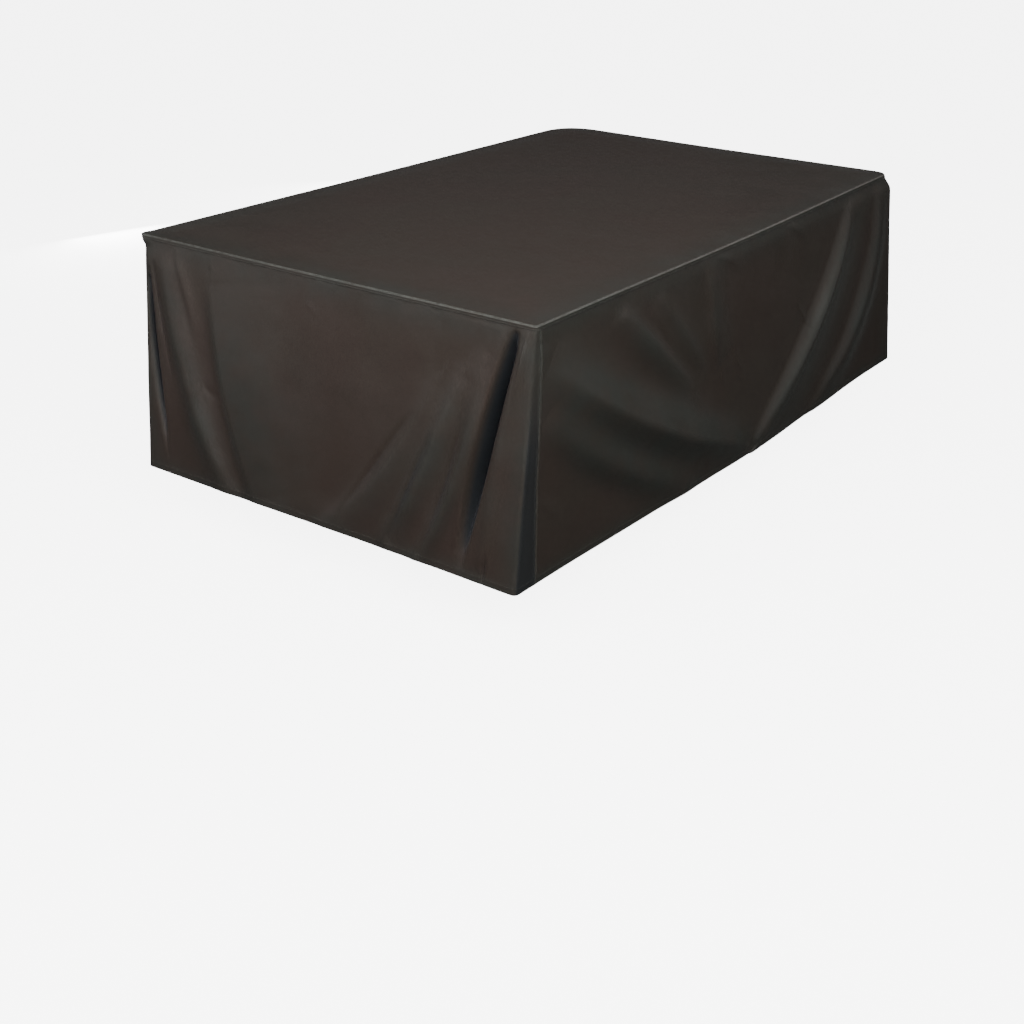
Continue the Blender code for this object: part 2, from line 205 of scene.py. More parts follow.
# The main folds, which the frame's solids have too, some of them there up to 12 mm higher.
MAIN_FOLDS: dict[Side, tuple[Fold, ...]] = {
    Side.FRONT: (
        Fold((0.05, 0.50, 1.09), (0.11, 0.39, 0.66), (0.006, 0.050, 0.010), 0.062, 0.072),
        Fold((0.06, 0.33, 0.74), (0.235, 0.44, 0.67), (0.004, 0.028, 0.010), 0.045, 0.056),
        Fold((1.74, 1.50, 1.13), (0.06, 0.36, 0.66), (0.014, 0.030, 0.010), 0.026, 0.120),
        Fold((1.99, 1.86, 1.52), (0.05, 0.40, 0.68), (0.010, 0.026, 0.008), 0.034, 0.080),
        Fold((0.39, 0.56, 0.75), (0.075, 0.215, 0.37), (0.010, 0.020, 0.004), 0.048, 0.030),
        Fold((0.57, 0.69, 0.80), (0.08, 0.20, 0.32), (0.005, 0.011, 0.003), 0.035, 0.030),
        Fold((0.82, 0.855, 0.90), (0.05, 0.20, 0.34), (0.004, 0.012, 0.002), 0.025, 0.065),
    ),
    Side.LEFT_END: (
        Fold((1.30, 1.243, 1.18), (0.04, 0.30, 0.64), (-0.010, -0.030, -0.002), 0.016, 0.016),
        Fold((1.33, 1.285, 1.25), (0.06, 0.30, 0.62), (0.004, 0.010, 0.003), 0.022, 0.022),
        Fold((1.215, 1.17, 1.045), (0.12, 0.40, 0.69), (0.003, 0.019, 0.009), 0.028, 0.026),
        Fold((1.16, 1.06, 0.935), (0.16, 0.42, 0.66), (0.003, 0.020, 0.008), 0.028, 0.040),
        Fold((1.08, 0.925, 0.72), (0.20, 0.47, 0.68), (0.002, 0.011, 0.006), 0.030, 0.070),
        Fold((0.10, 0.18, 0.34), (0.03, 0.33, 0.68), (0.006, 0.021, 0.009), 0.046, 0.054),
        Fold((0.22, 0.27, 0.35), (0.42, 0.54, 0.67), (0.002, 0.007, 0.006), 0.080, 0.028),
        Fold((0.29, 0.355, 0.46), (0.09, 0.38, 0.68), (0.004, 0.022, 0.012), 0.034, 0.220),
        Fold((0.020, 0.045, 0.085), (0.10, 0.35, 0.58), (-0.007, -0.015, -0.001), 0.013, 0.013),
    ),
    Side.RIGHT_END: (
        Fold((0.12, 0.22, 0.46), (0.06, 0.30, 0.66), (0.006, 0.016, 0.005), 0.050, 0.085),
        Fold((1.22, 1.12, 0.90), (0.08, 0.34, 0.66), (0.006, 0.014, 0.005), 0.085, 0.050),
        Fold((0.60, 0.68, 0.74), (0.10, 0.34, 0.64), (0.000, -0.008, -0.004), 0.100, 0.100),
    ),
    Side.REAR: (
        Fold((0.14, 0.52, 1.02), (0.08, 0.38, 0.66), (0.008, 0.022, 0.006), 0.095, 0.070),
        Fold((1.98, 1.70, 1.20), (0.08, 0.36, 0.66), (0.008, 0.022, 0.006), 0.070, 0.095),
        Fold((0.10, 0.26, 0.52), (0.30, 0.50, 0.67), (0.004, 0.014, 0.005), 0.065, 0.080),
        Fold((1.04, 1.02, 1.06), (0.05, 0.20, 0.40), (0.002, 0.007, 0.002), 0.060, 0.050),
    ),
}

# The finer creases that lie on the folds.
CREASES: dict[Side, tuple[Fold, ...]] = {
    Side.FRONT: (
        Fold((0.86, 0.93, 1.00), (0.015, 0.04, 0.08), (0.001, 0.003, 0.001), 0.012, 0.024),
        Fold((1.30, 1.36, 1.43), (0.012, 0.04, 0.09), (0.001, 0.003, 0.001), 0.012, 0.024),
        Fold((0.97, 1.01, 1.05), (0.31, 0.37, 0.43), (0.000, 0.0022, 0.000), 0.008, 0.014),
        Fold((1.37, 1.42, 1.47), (0.27, 0.33, 0.40), (0.000, 0.0022, 0.000), 0.008, 0.014),
        Fold((0.05, 0.10, 0.17), (0.44, 0.49, 0.54), (0.000, 0.0025, 0.000), 0.010, 0.020),
        Fold((0.52, 0.60, 0.68), (0.09, 0.17, 0.26), (0.001, 0.003, 0.000), 0.010, 0.022),
        Fold((0.10, 0.50, 1.05), (0.140, 0.392, 0.648), (0.001, 0.005, 0.002), 0.020, 0.016),
        Fold((1.725, 1.50, 1.17), (0.10, 0.365, 0.650), (0.002, 0.005, 0.002), 0.016, 0.022),
    ),
    Side.LEFT_END: (
        Fold((1.335, 1.325, 1.315), (0.03, 0.10, 0.19), (0.001, 0.003, 0.001), 0.004, 0.007),
        Fold((1.345, 1.340, 1.337), (0.04, 0.11, 0.20), (0.001, 0.002, 0.000), 0.004, 0.006),
        Fold((1.304, 1.248, 1.184), (0.03, 0.30, 0.66), (-0.006, -0.016, -0.001), 0.009, 0.009),
        Fold((1.276, 1.219, 1.163), (0.05, 0.30, 0.60), (0.002, 0.010, 0.002), 0.016, 0.007),
        Fold((1.000, 0.895, 0.775), (0.30, 0.45, 0.63), (-0.001, -0.006, -0.002), 0.010, 0.022),
        Fold((1.075, 1.022, 0.950), (0.34, 0.46, 0.65), (-0.001, -0.009, -0.004), 0.008, 0.020),
        Fold((1.165, 1.125, 1.050), (0.26, 0.45, 0.67), (-0.001, -0.008, -0.003), 0.007, 0.018),
        Fold((0.020, 0.045, 0.092), (0.12, 0.35, 0.63), (-0.008, -0.014, -0.001), 0.007, 0.007),
        Fold((0.050, 0.075, 0.115), (0.08, 0.22, 0.38), (-0.002, -0.006, -0.001), 0.009, 0.009),
        Fold((0.15, 0.19, 0.23), (0.04, 0.14, 0.26), (0.002, 0.006, 0.001), 0.012, 0.024),
        Fold((0.262, 0.275, 0.295), (0.385, 0.40, 0.41), (-0.001, -0.002, -0.001), 0.008, 0.010),
        Fold((0.64, 0.66, 0.68), (0.075, 0.09, 0.11), (0.000, 0.001, 0.000), 0.007, 0.012),
        Fold((1.262, 1.258, 1.256), (0.61, 0.65, 0.685), (-0.001, -0.005, -0.002), 0.005, 0.005),
    ),
}


def smooth_step(value: Array) -> Array:
    """0 below 0, 1 above 1, and an S-shaped rise between."""
    part = np.clip(value, 0.0, 1.0)
    return part * part * (3.0 - 2.0 * part)


def rounded_ramp(distance: Array, radius: Array) -> Array:
    """0 before a corner and the distance past it, with a parabola of that radius between."""
    ramp = np.maximum(distance, 0.0)
    return np.where(np.abs(distance) < radius, (distance + radius) ** 2 / (4.0 * radius), ramp)


def between(first: float, last: float, part: Array) -> Array:
    """The value that far on the way from the first to the last."""
    return first + (last - first) * part


def bell(distance: Array, width: float) -> Array:
    """1 at no distance, falling away as exp(-(distance / width) squared)."""
    return np.exp(-((distance / width) ** 2))


@dataclass(frozen=True)
class Ripple:
    """Smooth random unevenness: values at the knots of a seeded lattice, blended with S-shaped steps."""

    seed: int
    cell_along: float
    cell_down: float
    knots: int = 256

    def at(self, along: Array, down: Array) -> Array:
        """The ripple at each point, from -1 to 1.

        Args:
            along: distances along the cloth.
            down: distances down it.

        Returns:
            The blend of the four knots round each point.
        """
        lattice = np.random.default_rng(self.seed).uniform(-1.0, 1.0, (self.knots, self.knots))
        u, v = along / self.cell_along + self.knots / 4, down / self.cell_down + self.knots / 4
        i, j = np.floor(u).astype(int), np.floor(v).astype(int)
        s, t = smooth_step(u - i), smooth_step(v - j)
        i, j, k, m = i % self.knots, j % self.knots, (i + 1) % self.knots, (j + 1) % self.knots
        near = between(lattice[i, j], lattice[k, j], s)
        far = between(lattice[i, m], lattice[k, m], s)
        return between(near, far, t)


@dataclass(frozen=True)
class HangingBox:
    """The shape in which the cover hangs: a plain box, moved out by its folds and carried by one warp."""

    length: float = 2.130
    width: float = 1.360
    drop: float = 0.690
    rim_height: float = -0.002
    edge_fall: float = 0.004
    edge_fall_width: float = 0.110
    least_radius: float = 1e-6
    welt: float = 0.009
    fade_below_welt: float = 0.075
    fade_at_corner: float = 0.030
    hem_lift: float = 0.5
    hem_lift_height: float = 0.200
    shoulder_depth: float = 0.055
    ear_reach: float = 0.011
    ear_rise: float = 0.004
    ear_spread: float = 0.026
    ear_drop: float = 0.018
    slack: Ripple = Ripple(11, 0.21, 0.16)
    slack_height: float = 0.0011
    crumple: Ripple = Ripple(23, 0.060, 0.045)
    crumple_height: float = 0.00035
    gather: Ripple = Ripple(37, 0.017, 0.085)
    gather_height: float = 0.0009
    gather_reach: float = 0.028
    gather_from: float = 0.006
    crease_from: float = 0.020
    side_shift: float = 3.0
    pucker: Ripple = Ripple(41, 0.060, 0.011)
    pucker_height: float = 0.0005
    pucker_reach: float = 0.012
    # Painted shade in troughs and creases: how deep they sink before it starts, how quickly it darkens, and
    # how low a fold must reach to count.
    painted_shade_from: float = 0.003
    painted_shade_reach: float = 0.014
    painted_shade_trough_height: float = -0.004
    # Painted shade where the left end turns round the near corner: where it starts, how quickly it comes,
    # from what depth, and how dark at most.
    turn_from: float = 0.004
    turn_ramp: float = 0.010
    turn_depth: float = 0.10
    turn_depth_ramp: float = 0.25
    turn_painted_shade: float = 0.70
    weather_height: float = 0.020
    weather_below_top: float = 0.060
    weather_above_hem: float = 0.035
    weather_at_corner: float = 0.050

    def run(self, side: Side) -> Run:
        """The length, direction, edge sag and belly of a side.

        Args:
            side: the side.

        Returns:
            The four values.
        """
        return {
            Side.FRONT: Run(self.length, (1, 0), edge_sag=0.006, belly=0.014),
            Side.RIGHT_END: Run(self.width, (0, 1), edge_sag=0.002, belly=0.010),
            Side.REAR: Run(self.length, (-1, 0), edge_sag=0.001, belly=0.014),
            Side.LEFT_END: Run(self.width, (0, -1), edge_sag=0.001, belly=-0.007),
        }[side]

    def corners(self, side: Side) -> tuple[Corner, Corner]:
        """The corners at which a side starts and ends."""
        return CORNERS[side.value], CORNERS[side.following.value]

    def warp(self, points: Array) -> Array:
        """Carries points of the plain box to where they hang: the four corners' offsets, shared out by how
        near each corner is in plan, and going from the top's offset to the hem's with the depth.

        Args:
            points: rows of x, y and z in the plain box.

        Returns:
            The rows in the frame's own place.
        """
        east, north = points[:, 0] / self.length + 0.5, points[:, 1] / self.width + 0.5
        down = np.maximum(-points[:, 2], 0.0) / self.drop
        out_at_shoulder = smooth_step(down * self.drop / self.shoulder_depth) * (1.0 - down)
        moved = points.copy()
        for corner in CORNERS:
            share = east if corner.x_side > 0 else 1.0 - east
            share = share * (north if corner.y_side > 0 else 1.0 - north)
            offset = between(np.array(corner.top), np.array(corner.hem), down[:, None])
            offset = offset + np.array((*corner.shoulder, 0.0)) * out_at_shoulder[:, None]
            moved += share[:, None] * offset
        moved[:, 2] += self.rim_height
        return moved

    def sag(self, points: Array) -> Array:
        """How far the cloth sags: a squared sine along each top edge, fading to nothing at the centre.

        Args:
            points: rows of x, y and z in the plain box.

        Returns:
            The sag at each point.
        """
        east, north = points[:, 0] / self.length + 0.5, points[:, 1] / self.width + 0.5
        along = {Side.FRONT: east, Side.RIGHT_END: north, Side.REAR: 1.0 - east, Side.LEFT_END: 1.0 - north}
        beside = {Side.FRONT: 1.0 - north, Side.RIGHT_END: east, Side.REAR: north, Side.LEFT_END: 1.0 - east}
        total = np.zeros(len(points))
        for side in Side:
            middle = np.sin(np.pi * np.clip(along[side], 0.0, 1.0)) ** 2
            total += self.run(side).edge_sag * middle * np.clip(2.0 * beside[side] - 1.0, 0.0, 1.0) ** 2
        return total

    def folds(self, side: Side, along: Array, depth: Array) -> Array:
        """How far the main folds stand out together, fading at the side's corners and its welt.

        Args:
            side: the side that the distances count along.
            along: the distances.
            depth: the depths below the top.

        Returns:
            The height at each point.
        """
        main = sum(fold.relief(along, depth) for fold in MAIN_FOLDS[side])
        length = self.run(side).length
        to_corner = np.minimum(along, length - along)
        main = main * smooth_step(to_corner / self.fade_at_corner)
        return main * smooth_step((depth - self.welt) / self.fade_below_welt)

    def fine(self, side: Side, along: Array, depth: Array) -> Array:
        """The fine relief: creases, a slow slackness, a faint crumple, and small gathers below the welt and
        beside the upright seams, each a bell of the distance times an even randomness.

        Args:
            side: the side that the distances count along.
            along: the distances.
            depth: the depths below the top.

        Returns:
            The height at each point.
        """
        start, end = self.corners(side)
        part = depth / self.drop
        to_seam = np.abs(along - start.seam(part))
        to_seam = np.minimum(to_seam, np.abs(along - self.run(side).length - end.seam(part)))
        below = np.maximum(depth - self.welt, 0.0)
        creases = sum((crease.relief(along, depth) for crease in CREASES.get(side, ())), np.zeros(len(along)))
        place = along + self.side_shift * side.value
        slack = self.slack_height * self.slack.at(place, depth)
        crumple = self.crumple_height * self.crumple.at(place, depth)
        gather = self.gather_height * self.gather.at(place, depth) * np.exp(-below / self.gather_reach)
        gather = gather * smooth_step(below / self.gather_from)
        pucker = self.pucker_height * self.pucker.at(place, depth) * bell(to_seam, self.pucker_reach)
        return (creases + slack + crumple) * smooth_step(below / self.crease_from) + gather + pucker

    def painted_shade(self, side: Side, along: Array, depth: Array) -> Array:
        """Painted shade: how much darker the cloth is painted, by how deep the troughs and creases that it
        lies in are.

        Args:
            side: the side that the distances count along.
            along: the distances.
            depth: the depths below the top.

        Returns:
            The painted shade at each point, from 0 to 1.
        """
        folds = MAIN_FOLDS[side] + CREASES.get(side, ())
        troughs = [fold for fold in folds if min(fold.height) < self.painted_shade_trough_height]
        sunk = -sum((fold.relief(along, depth) for fold in troughs), np.zeros(len(along)))
        return smooth_step((sunk - self.painted_shade_from) / self.painted_shade_reach)

    def weather(self, side: Side, along: Array, depth: Array) -> Array:
        """How weathered the cloth is: more towards its edges and corners, and on its folds.

        Args:
            side: the side that the distances count along.
            along: the distances.
            depth: the depths below the top.

        Returns:
            The weathering at each point, from 0 to 1.
        """
        to_corner = np.minimum(along, self.run(side).length - along)
        spared = 1.0 - np.clip(np.abs(self.folds(side, along, depth)) / self.weather_height, 0.0, 1.0)
        spared = spared * (1.0 - bell(depth, self.weather_below_top))
        spared = spared * (1.0 - bell(self.drop - depth, self.weather_above_hem))
        return 1.0 - spared * (1.0 - bell(to_corner, self.weather_at_corner))

    def corner_painted_shade(self, along: Array, depth: Array) -> Array:
        """Painted shade on the left end's cloth where it turns round the near corner: nothing by the top,
        and more lower down.

        Args:
            along: distances along the left end.
            depth: the depths below the top.

        Returns:
            The painted shade at each point, from 0 to 1.
        """
        turned = smooth_step((along - self.width + self.turn_from) / self.turn_ramp)
        lower = smooth_step((depth - self.turn_depth) / self.turn_depth_ramp)
        return self.turn_painted_shade * (turned * lower)

    def belly(self, side: Side, along: Array, depth: Array) -> Array:
        """How far a side stands out as a whole: a squared sine along it, growing towards the hem.

        Args:
            side: the side that the distances count along.
            along: the distances.
            depth: the depths below the top.

        Returns:
            The height at each point.
        """
        run = self.run(side)
        middle = np.sin(np.pi * np.clip(along / run.length, 0.0, 1.0)) ** 2
        return run.belly * middle * smooth_step(depth / self.drop)

    def round_corners(
        self, height_of: Callable[[Side, Array, Array], Array], side: Side, along: Array, depth: Array
    ) -> Array:
        """A height at distances along a side, read from the side before or after past its corners.

        Args:
            height_of: a function of a side, distances along and depths.
            side: the side that the distances count along.
            along: the distances, below 0 or past the side's length beyond its corners.
            depth: the depths below the top.

        Returns:
            The height at each point.
        """
        length = self.run(side).length
        height = np.empty(len(along))
        for which, other, shift in (
            (along < 0.0, side.previous, self.run(side.previous).length),
            ((along >= 0.0) & (along <= length), side, 0.0),
            (along > length, side.following, -length),
        ):
            height[which] = height_of(other, along[which] + shift, depth[which])
        return height

    def ring(self, side: Side, along: Array, depth: Array) -> tuple[Array, Array]:
        """The plain box's side surface in plan and its outward direction: straight along the side, and round
        a parabola of the corner's radius at each end.

        Args:
            side: the side that the distances count along.
            along: the distances.
            depth: the depths below the top.

        Returns:
            Rows of x and y, and rows of the outward direction.
        """
        part = depth / self.drop
        start, end = self.corners(side)
        start_radius, end_radius = start.radius(part), end.radius(part)
        run = self.run(side)
        direction, outward = np.array(run.direction, float), np.array(run.outward, float)
        origin = np.array((start.x_side * self.length / 2, start.y_side * self.width / 2))
        beyond = along - run.length
        back, ahead = rounded_ramp(-along, start_radius), rounded_ramp(beyond, end_radius)
        forward = rounded_ramp(along, start_radius) - ahead
        plan = origin + forward[:, None] * direction - (back + ahead)[:, None] * outward
        turn = smooth_step(0.5 + beyond / (2 * end_radius)) - smooth_step(0.5 - along / (2 * start_radius))
        turn = np.pi / 2 * turn
        return plan, np.cos(turn)[:, None] * outward + np.sin(turn)[:, None] * direction

    def side_surface(self, side: Side, along: Array, depth: Array, proud: Array | float = 0.0) -> Array:
        """Where a side's cloth hangs: the ring, moved outwards by folds, belly and fine relief, drawn up a
        little at the hem by its folds, sagged and then warped.

        Args:
            side: the side that the distances count along.
            along: the distances.
            depth: the depths below the top.
            proud: how much further out each point stands, for a seam or a welt.

        Returns:
            Rows of x, y and z.
        """
        plan, outward = self.ring(side, along, depth)
        folds = self.round_corners(self.folds, side, along, depth)
        belly = self.round_corners(self.belly, side, along, depth)
        fine = self.round_corners(self.fine, side, along, depth)
        lift = self.hem_lift * folds
        lift = lift * smooth_step((depth - self.drop + self.hem_lift_height) / self.hem_lift_height)
        points = np.column_stack((plan, -depth))
        points[:, 2] += lift - self.sag(points)
        points[:, :2] += (folds + belly + fine + proud)[:, None] * outward
        return self.lift_ear(self.warp(points))

    def top_surface(self, x_flat: Array, y_flat: Array, raised: Array | float = 0.0) -> Array:
        """Where the top lies: a plane that falls a little towards its edges, its corners rounded as the
        sides' are, sagged and warped with them.

        Args:
            x_flat: distances across the top from its -X edge.
            y_flat: distances across the top from its -Y edge.
            raised: how much higher each point lies, for a seam.

        Returns:
            Rows of x, y and z.
        """
        x_side = np.where(x_flat * 2 < self.length, -1, 1)
        y_side = np.where(y_flat * 2 < self.width, -1, 1)
        from_x, from_y = np.minimum(x_flat, self.length - x_flat), np.minimum(y_flat, self.width - y_flat)
        inside = np.minimum(from_x, from_y)
        radius = sum(c.top_radius * ((x_side == c.x_side) & (y_side == c.y_side)) for c in CORNERS)
        radius = radius * (1.0 - smooth_step(inside / self.edge_fall_width)) + self.least_radius
        off_x = inside + rounded_ramp(from_x - from_y, radius)
        off_y = inside + rounded_ramp(from_y - from_x, radius)
        height = self.edge_fall * smooth_step(inside / self.edge_fall_width) + raised
        x, y = x_side * (self.length / 2 - off_x), y_side * (self.width / 2 - off_y)
        points = np.column_stack((x, y, height))
        points[:, 2] -= self.sag(points)
        lifted = points[:, 2].copy()
        points[:, 2] = 0.0
        points = self.warp(points)
        points[:, 2] += lifted
        return self.lift_ear(points)

    def lift_ear(self, points: Array) -> Array:
        """Pulls the point of one corner out and up as a small ear, by a bell of the distance from it.

        Args:
            points: rows of x, y and z, which are moved.

        Returns:
            The same rows.
        """
        corner = EAR_CORNER
        tip_x = corner.x_side * self.length / 2 + corner.top[0]
        tip_y = corner.y_side * self.width / 2 + corner.top[1]
        share = bell(np.hypot(points[:, 0] - tip_x, points[:, 1] - tip_y), self.ear_spread)
        share = share * smooth_step(1.0 + (points[:, 2] + self.welt) / self.ear_drop)
        points[:, 0] += corner.x_side * self.ear_reach * share
        points[:, 2] += self.ear_rise * share
        return points


def grid_faces(rows: int, columns: int, first: int = 0) -> Array:
    """The quads of a grid that is stored row by row, turned so that rows going up a wall face outwards."""
    corner = first + (np.arange(rows - 1)[:, None] * columns + np.arange(columns - 1)).ravel()
    return np.column_stack((corner, corner + 1, corner + columns + 1, corner + columns))


def make_mesh(
    name: str, points: Array, faces: Array, uv: Array | None = None, values: dict[str, Array] | None = None
) -> bpy.types.Object:
    """Puts whole arrays into a mesh object, smooth shaded.

    Args:
        name: the piece's name.
        points: rows of x, y and z.
        faces: rows of point numbers, all of one length.
        uv: the cloth's own place of each point, in metres.
        values: named values of each point, such as how worn its coating is and how much highlight is painted
            on it, from 0 to 1.

    Returns:
        The object, linked to the scene.
    """
    mesh = bpy.data.meshes.new(name)
    corners = faces.shape[1]
    mesh.vertices.add(len(points))
    mesh.vertices.foreach_set("co", points.astype(np.float32).ravel())
    mesh.loops.add(faces.size)
    mesh.loops.foreach_set("vertex_index", faces.astype(np.int32).ravel())
    mesh.polygons.add(len(faces))
    mesh.polygons.foreach_set("loop_start", np.arange(0, faces.size, corners, dtype=np.int32))
    mesh.update(calc_edges=True)
    mesh.polygons.foreach_set("use_smooth", np.ones(len(faces), dtype=bool))
    if uv is not None:
        layer = mesh.uv_layers.new(name="cloth")
        layer.uv.foreach_set("vector", uv[faces.ravel()].astype(np.float32).ravel())
    for label, value in (values or {}).items():
        mesh.attributes.new(label, "FLOAT", "POINT").data.foreach_set("value", value.astype(np.float32))
    mesh.validate()
    piece = bpy.data.objects.new(name, mesh)
    bpy.context.scene.collection.objects.link(piece)
    return piece


class Nodes:
    """A small helper that adds nodes to a material's tree and joins them."""

    def __init__(self, name: str) -> None:
        """Starts a material with its Principled shader.

        Args:
            name: the material's name.
        """
        self.material = bpy.data.materials.new(name)
        self.material.use_nodes = True
        self.tree = self.material.node_tree
        self.shader = self.tree.nodes["Principled BSDF"]

    def add(self, kind: str, inputs: dict | None = None, **settings: str) -> bpy.types.Node:
        """Adds a node.

        Args:
            kind: the node's type name without its ShaderNode prefix.
            inputs: a value, colour or other node's socket for each input, by name or number.
            settings: values of the node's own properties.

        Returns:
            The node.
        """
        node = self.tree.nodes.new("ShaderNode" + kind)
        for key, value in settings.items():
            setattr(node, key, value)
        for key, value in (inputs or {}).items():
            if isinstance(value, bpy.types.NodeSocket):
                self.tree.links.new(value, node.inputs[key])
            else:
                node.inputs[key].default_value = value
        return node

    def math(self, operation: str, *values: Socket | float) -> Socket:
        """The result of a Math node on numbers or sockets."""
        return self.add("Math", dict(enumerate(values)), operation=operation).outputs[0]

    def attribute(self, name: str) -> Socket:
        """A named value of the mesh."""
        return self.add("Attribute", attribute_name=name).outputs["Fac"]

    def mix(self, factor: Socket, first: Socket | Colour, last: Socket | Colour) -> Socket:
        """A blend of two colours, by the Mix node's colour sockets 6 and 7."""
        node = self.add("Mix", {0: factor, 6: first, 7: last}, data_type="RGBA")
        return node.outputs[2]

    def noise(self, place: Socket, noise: "Noise") -> Socket:
        """Fractal noise at a place."""
        inputs = {"Vector": place, "Scale": noise.scale, "Detail": noise.detail, "Roughness": noise.roughness}
        return self.add("TexNoise", inputs).outputs[0]

    def mottle(self, place: Socket, mottle: "Mottle") -> Socket:
        """Fractal noise at a place, carried to the mottle's own range and held inside it.

        Args:
            place: where the noise is read.
            mottle: the noise and its two ranges.

        Returns:
            The unevenness.
        """
        (low, high), (least, most) = mottle.taken, mottle.given
        value = self.noise(place, mottle.noise)
        inputs = {"Value": value, "From Min": low, "From Max": high, "To Min": least, "To Max": most}
        return self.add("MapRange", inputs).outputs[0]

    def bump(self, height: Socket, relief: "Relief", under: Socket | None = None) -> Socket:
        """Bumps the surface.

        Args:
            height: the pattern.
            relief: how high it stands and how strongly.
            under: another bumped normal that this one is laid over.

        Returns:
            The bumped normal.
        """
        inputs = {"Height": height, "Distance": relief.height, "Strength": relief.strength}
        if under is not None:
            inputs["Normal"] = under
        return self.add("Bump", inputs).outputs[0]


@dataclass(frozen=True)
class Noise:
    """Fractal noise: how many cells a metre holds, how many finer layers it has and how strong they are."""

    scale: float
    detail: float
    roughness: float = 0.5


@dataclass(frozen=True)
class Mottle:
    """An unevenness: noise, the range that is taken of it, and the range that it is carried to."""

    noise: Noise
    taken: tuple[float, float]
    given: tuple[float, float]


@dataclass(frozen=True)
class Relief:
    """How high a bump pattern stands, in metres, and how strongly it shows."""

    height: float
    strength: float


@dataclass(frozen=True)
class CoatedCloth:
    """Plain-woven cloth under a thin satin coating: dark brown, cooler in patches, greyer where it is
    weathered, paler where it is rubbed and where a highlight is painted on seam lips and folded edges, and
    painted darker and bluer as shade inside its pleats and deeper creases."""

    warm: Colour = (0.0375, 0.0262, 0.0225, 1.0)
    cool: Colour = (0.0360, 0.0272, 0.0230, 1.0)
    weathered: Colour = (0.0314, 0.0298, 0.0268, 1.0)
    # Partly wear and partly painted highlight: the pale colour on seam lips, the top's seam ridge and folded
    # edges.
    wear_and_highlight_colour: Colour = (0.150, 0.156, 0.148, 1.0)
    # Painted shade: the darker, bluer colour laid in troughs, deep creases and low round the near corner.
    painted_shade_colour: Colour = (0.0175, 0.0190, 0.0225, 1.0)
    patches: Mottle = Mottle(Noise(3.1, 3.0), (0.38, 0.62), (0.0, 1.0))
    specks: Mottle = Mottle(Noise(260.0, 2.0, 0.7), (0.30, 0.70), (0.86, 1.14))
    weathering: Mottle = Mottle(Noise(11.0, 3.0), (0.35, 0.60), (0.55, 1.0))
    # Breaks up the wear and painted highlight.
    wear_and_highlight_mottle: Mottle = Mottle(Noise(90.0, 3.0), (0.30, 0.65), (0.25, 1.0))
    roughness: Mottle = Mottle(Noise(9.0, 3.0), (0.35, 0.65), (0.36, 0.46))
    specular: float = 0.45
    sheen: float = 0.04
    sheen_roughness: float = 0.4
    thread_pitch: float = 0.0011
    thread_relief: Relief = Relief(0.00006, 0.5)
    crumple: Noise = Noise(17.0, 4.0, 0.55)
    crumple_relief: Relief = Relief(0.0011, 0.30)
    grain: Noise = Noise(120.0, 3.0, 0.6)
    grain_relief: Relief = Relief(0.00022, 0.45)

    def material(self, name: str) -> bpy.types.Material:
        """The finish as nodes: two browns blended by a slow noise, greyer by the weather attribute, paler
        where the coating is worn and where a highlight is painted, darker and bluer where shade is painted, a
        plain weave as the product of a sine across and a sine down the cloth, and a faint crumple under it.

        Args:
            name: the material's name.

        Returns:
            The material.
        """
        nodes = Nodes(name)
        here = nodes.add("TexCoord").outputs["Object"]
        cloth = nodes.add("SeparateXYZ", {0: nodes.add("UVMap", uv_map="cloth").outputs[0]})
        patches, specks = nodes.mottle(here, self.patches), nodes.mottle(here, self.specks)
        colour = nodes.mix(patches, self.warm, self.cool)
        colour = nodes.add("HueSaturation", {"Color": colour, "Value": specks}).outputs[0]
        weather = nodes.math("MULTIPLY", nodes.attribute("weather"), nodes.mottle(here, self.weathering))
        colour = nodes.mix(weather, colour, self.weathered)
        # Paler where the coating is worn and where a highlight is painted along seams and folded edges.
        worn_and_highlit = nodes.math("MULTIPLY", nodes.attribute("wear_and_highlight"), nodes.mottle(here, self.wear_and_highlight_mottle))
        colour = nodes.mix(worn_and_highlit, colour, self.wear_and_highlight_colour)
        # Painted shade: darker and bluer in troughs, deep creases and round the near corner.
        colour = nodes.mix(nodes.attribute("painted_shade"), colour, self.painted_shade_colour)
        turn = 2.0 * np.pi / self.thread_pitch
        across = nodes.math("SINE", nodes.math("MULTIPLY", cloth.outputs[0], turn))
        down = nodes.math("SINE", nodes.math("MULTIPLY", cloth.outputs[1], turn))
        weave = nodes.math("MULTIPLY", across, down)
        crumple = nodes.bump(nodes.noise(here, self.crumple), self.crumple_relief)
        grain = nodes.bump(nodes.noise(here, self.grain), self.grain_relief, crumple)
        nodes.tree.links.new(colour, nodes.shader.inputs["Base Color"])
        nodes.tree.links.new(nodes.mottle(here, self.roughness), nodes.shader.inputs["Roughness"])
        nodes.tree.links.new(nodes.bump(weave, self.thread_relief, grain), nodes.shader.inputs["Normal"])
        nodes.shader.inputs["Specular IOR Level"].default_value = self.specular
        nodes.shader.inputs["Sheen Weight"].default_value = self.sheen
        nodes.shader.inputs["Sheen Roughness"].default_value = self.sheen_roughness
        return nodes.material


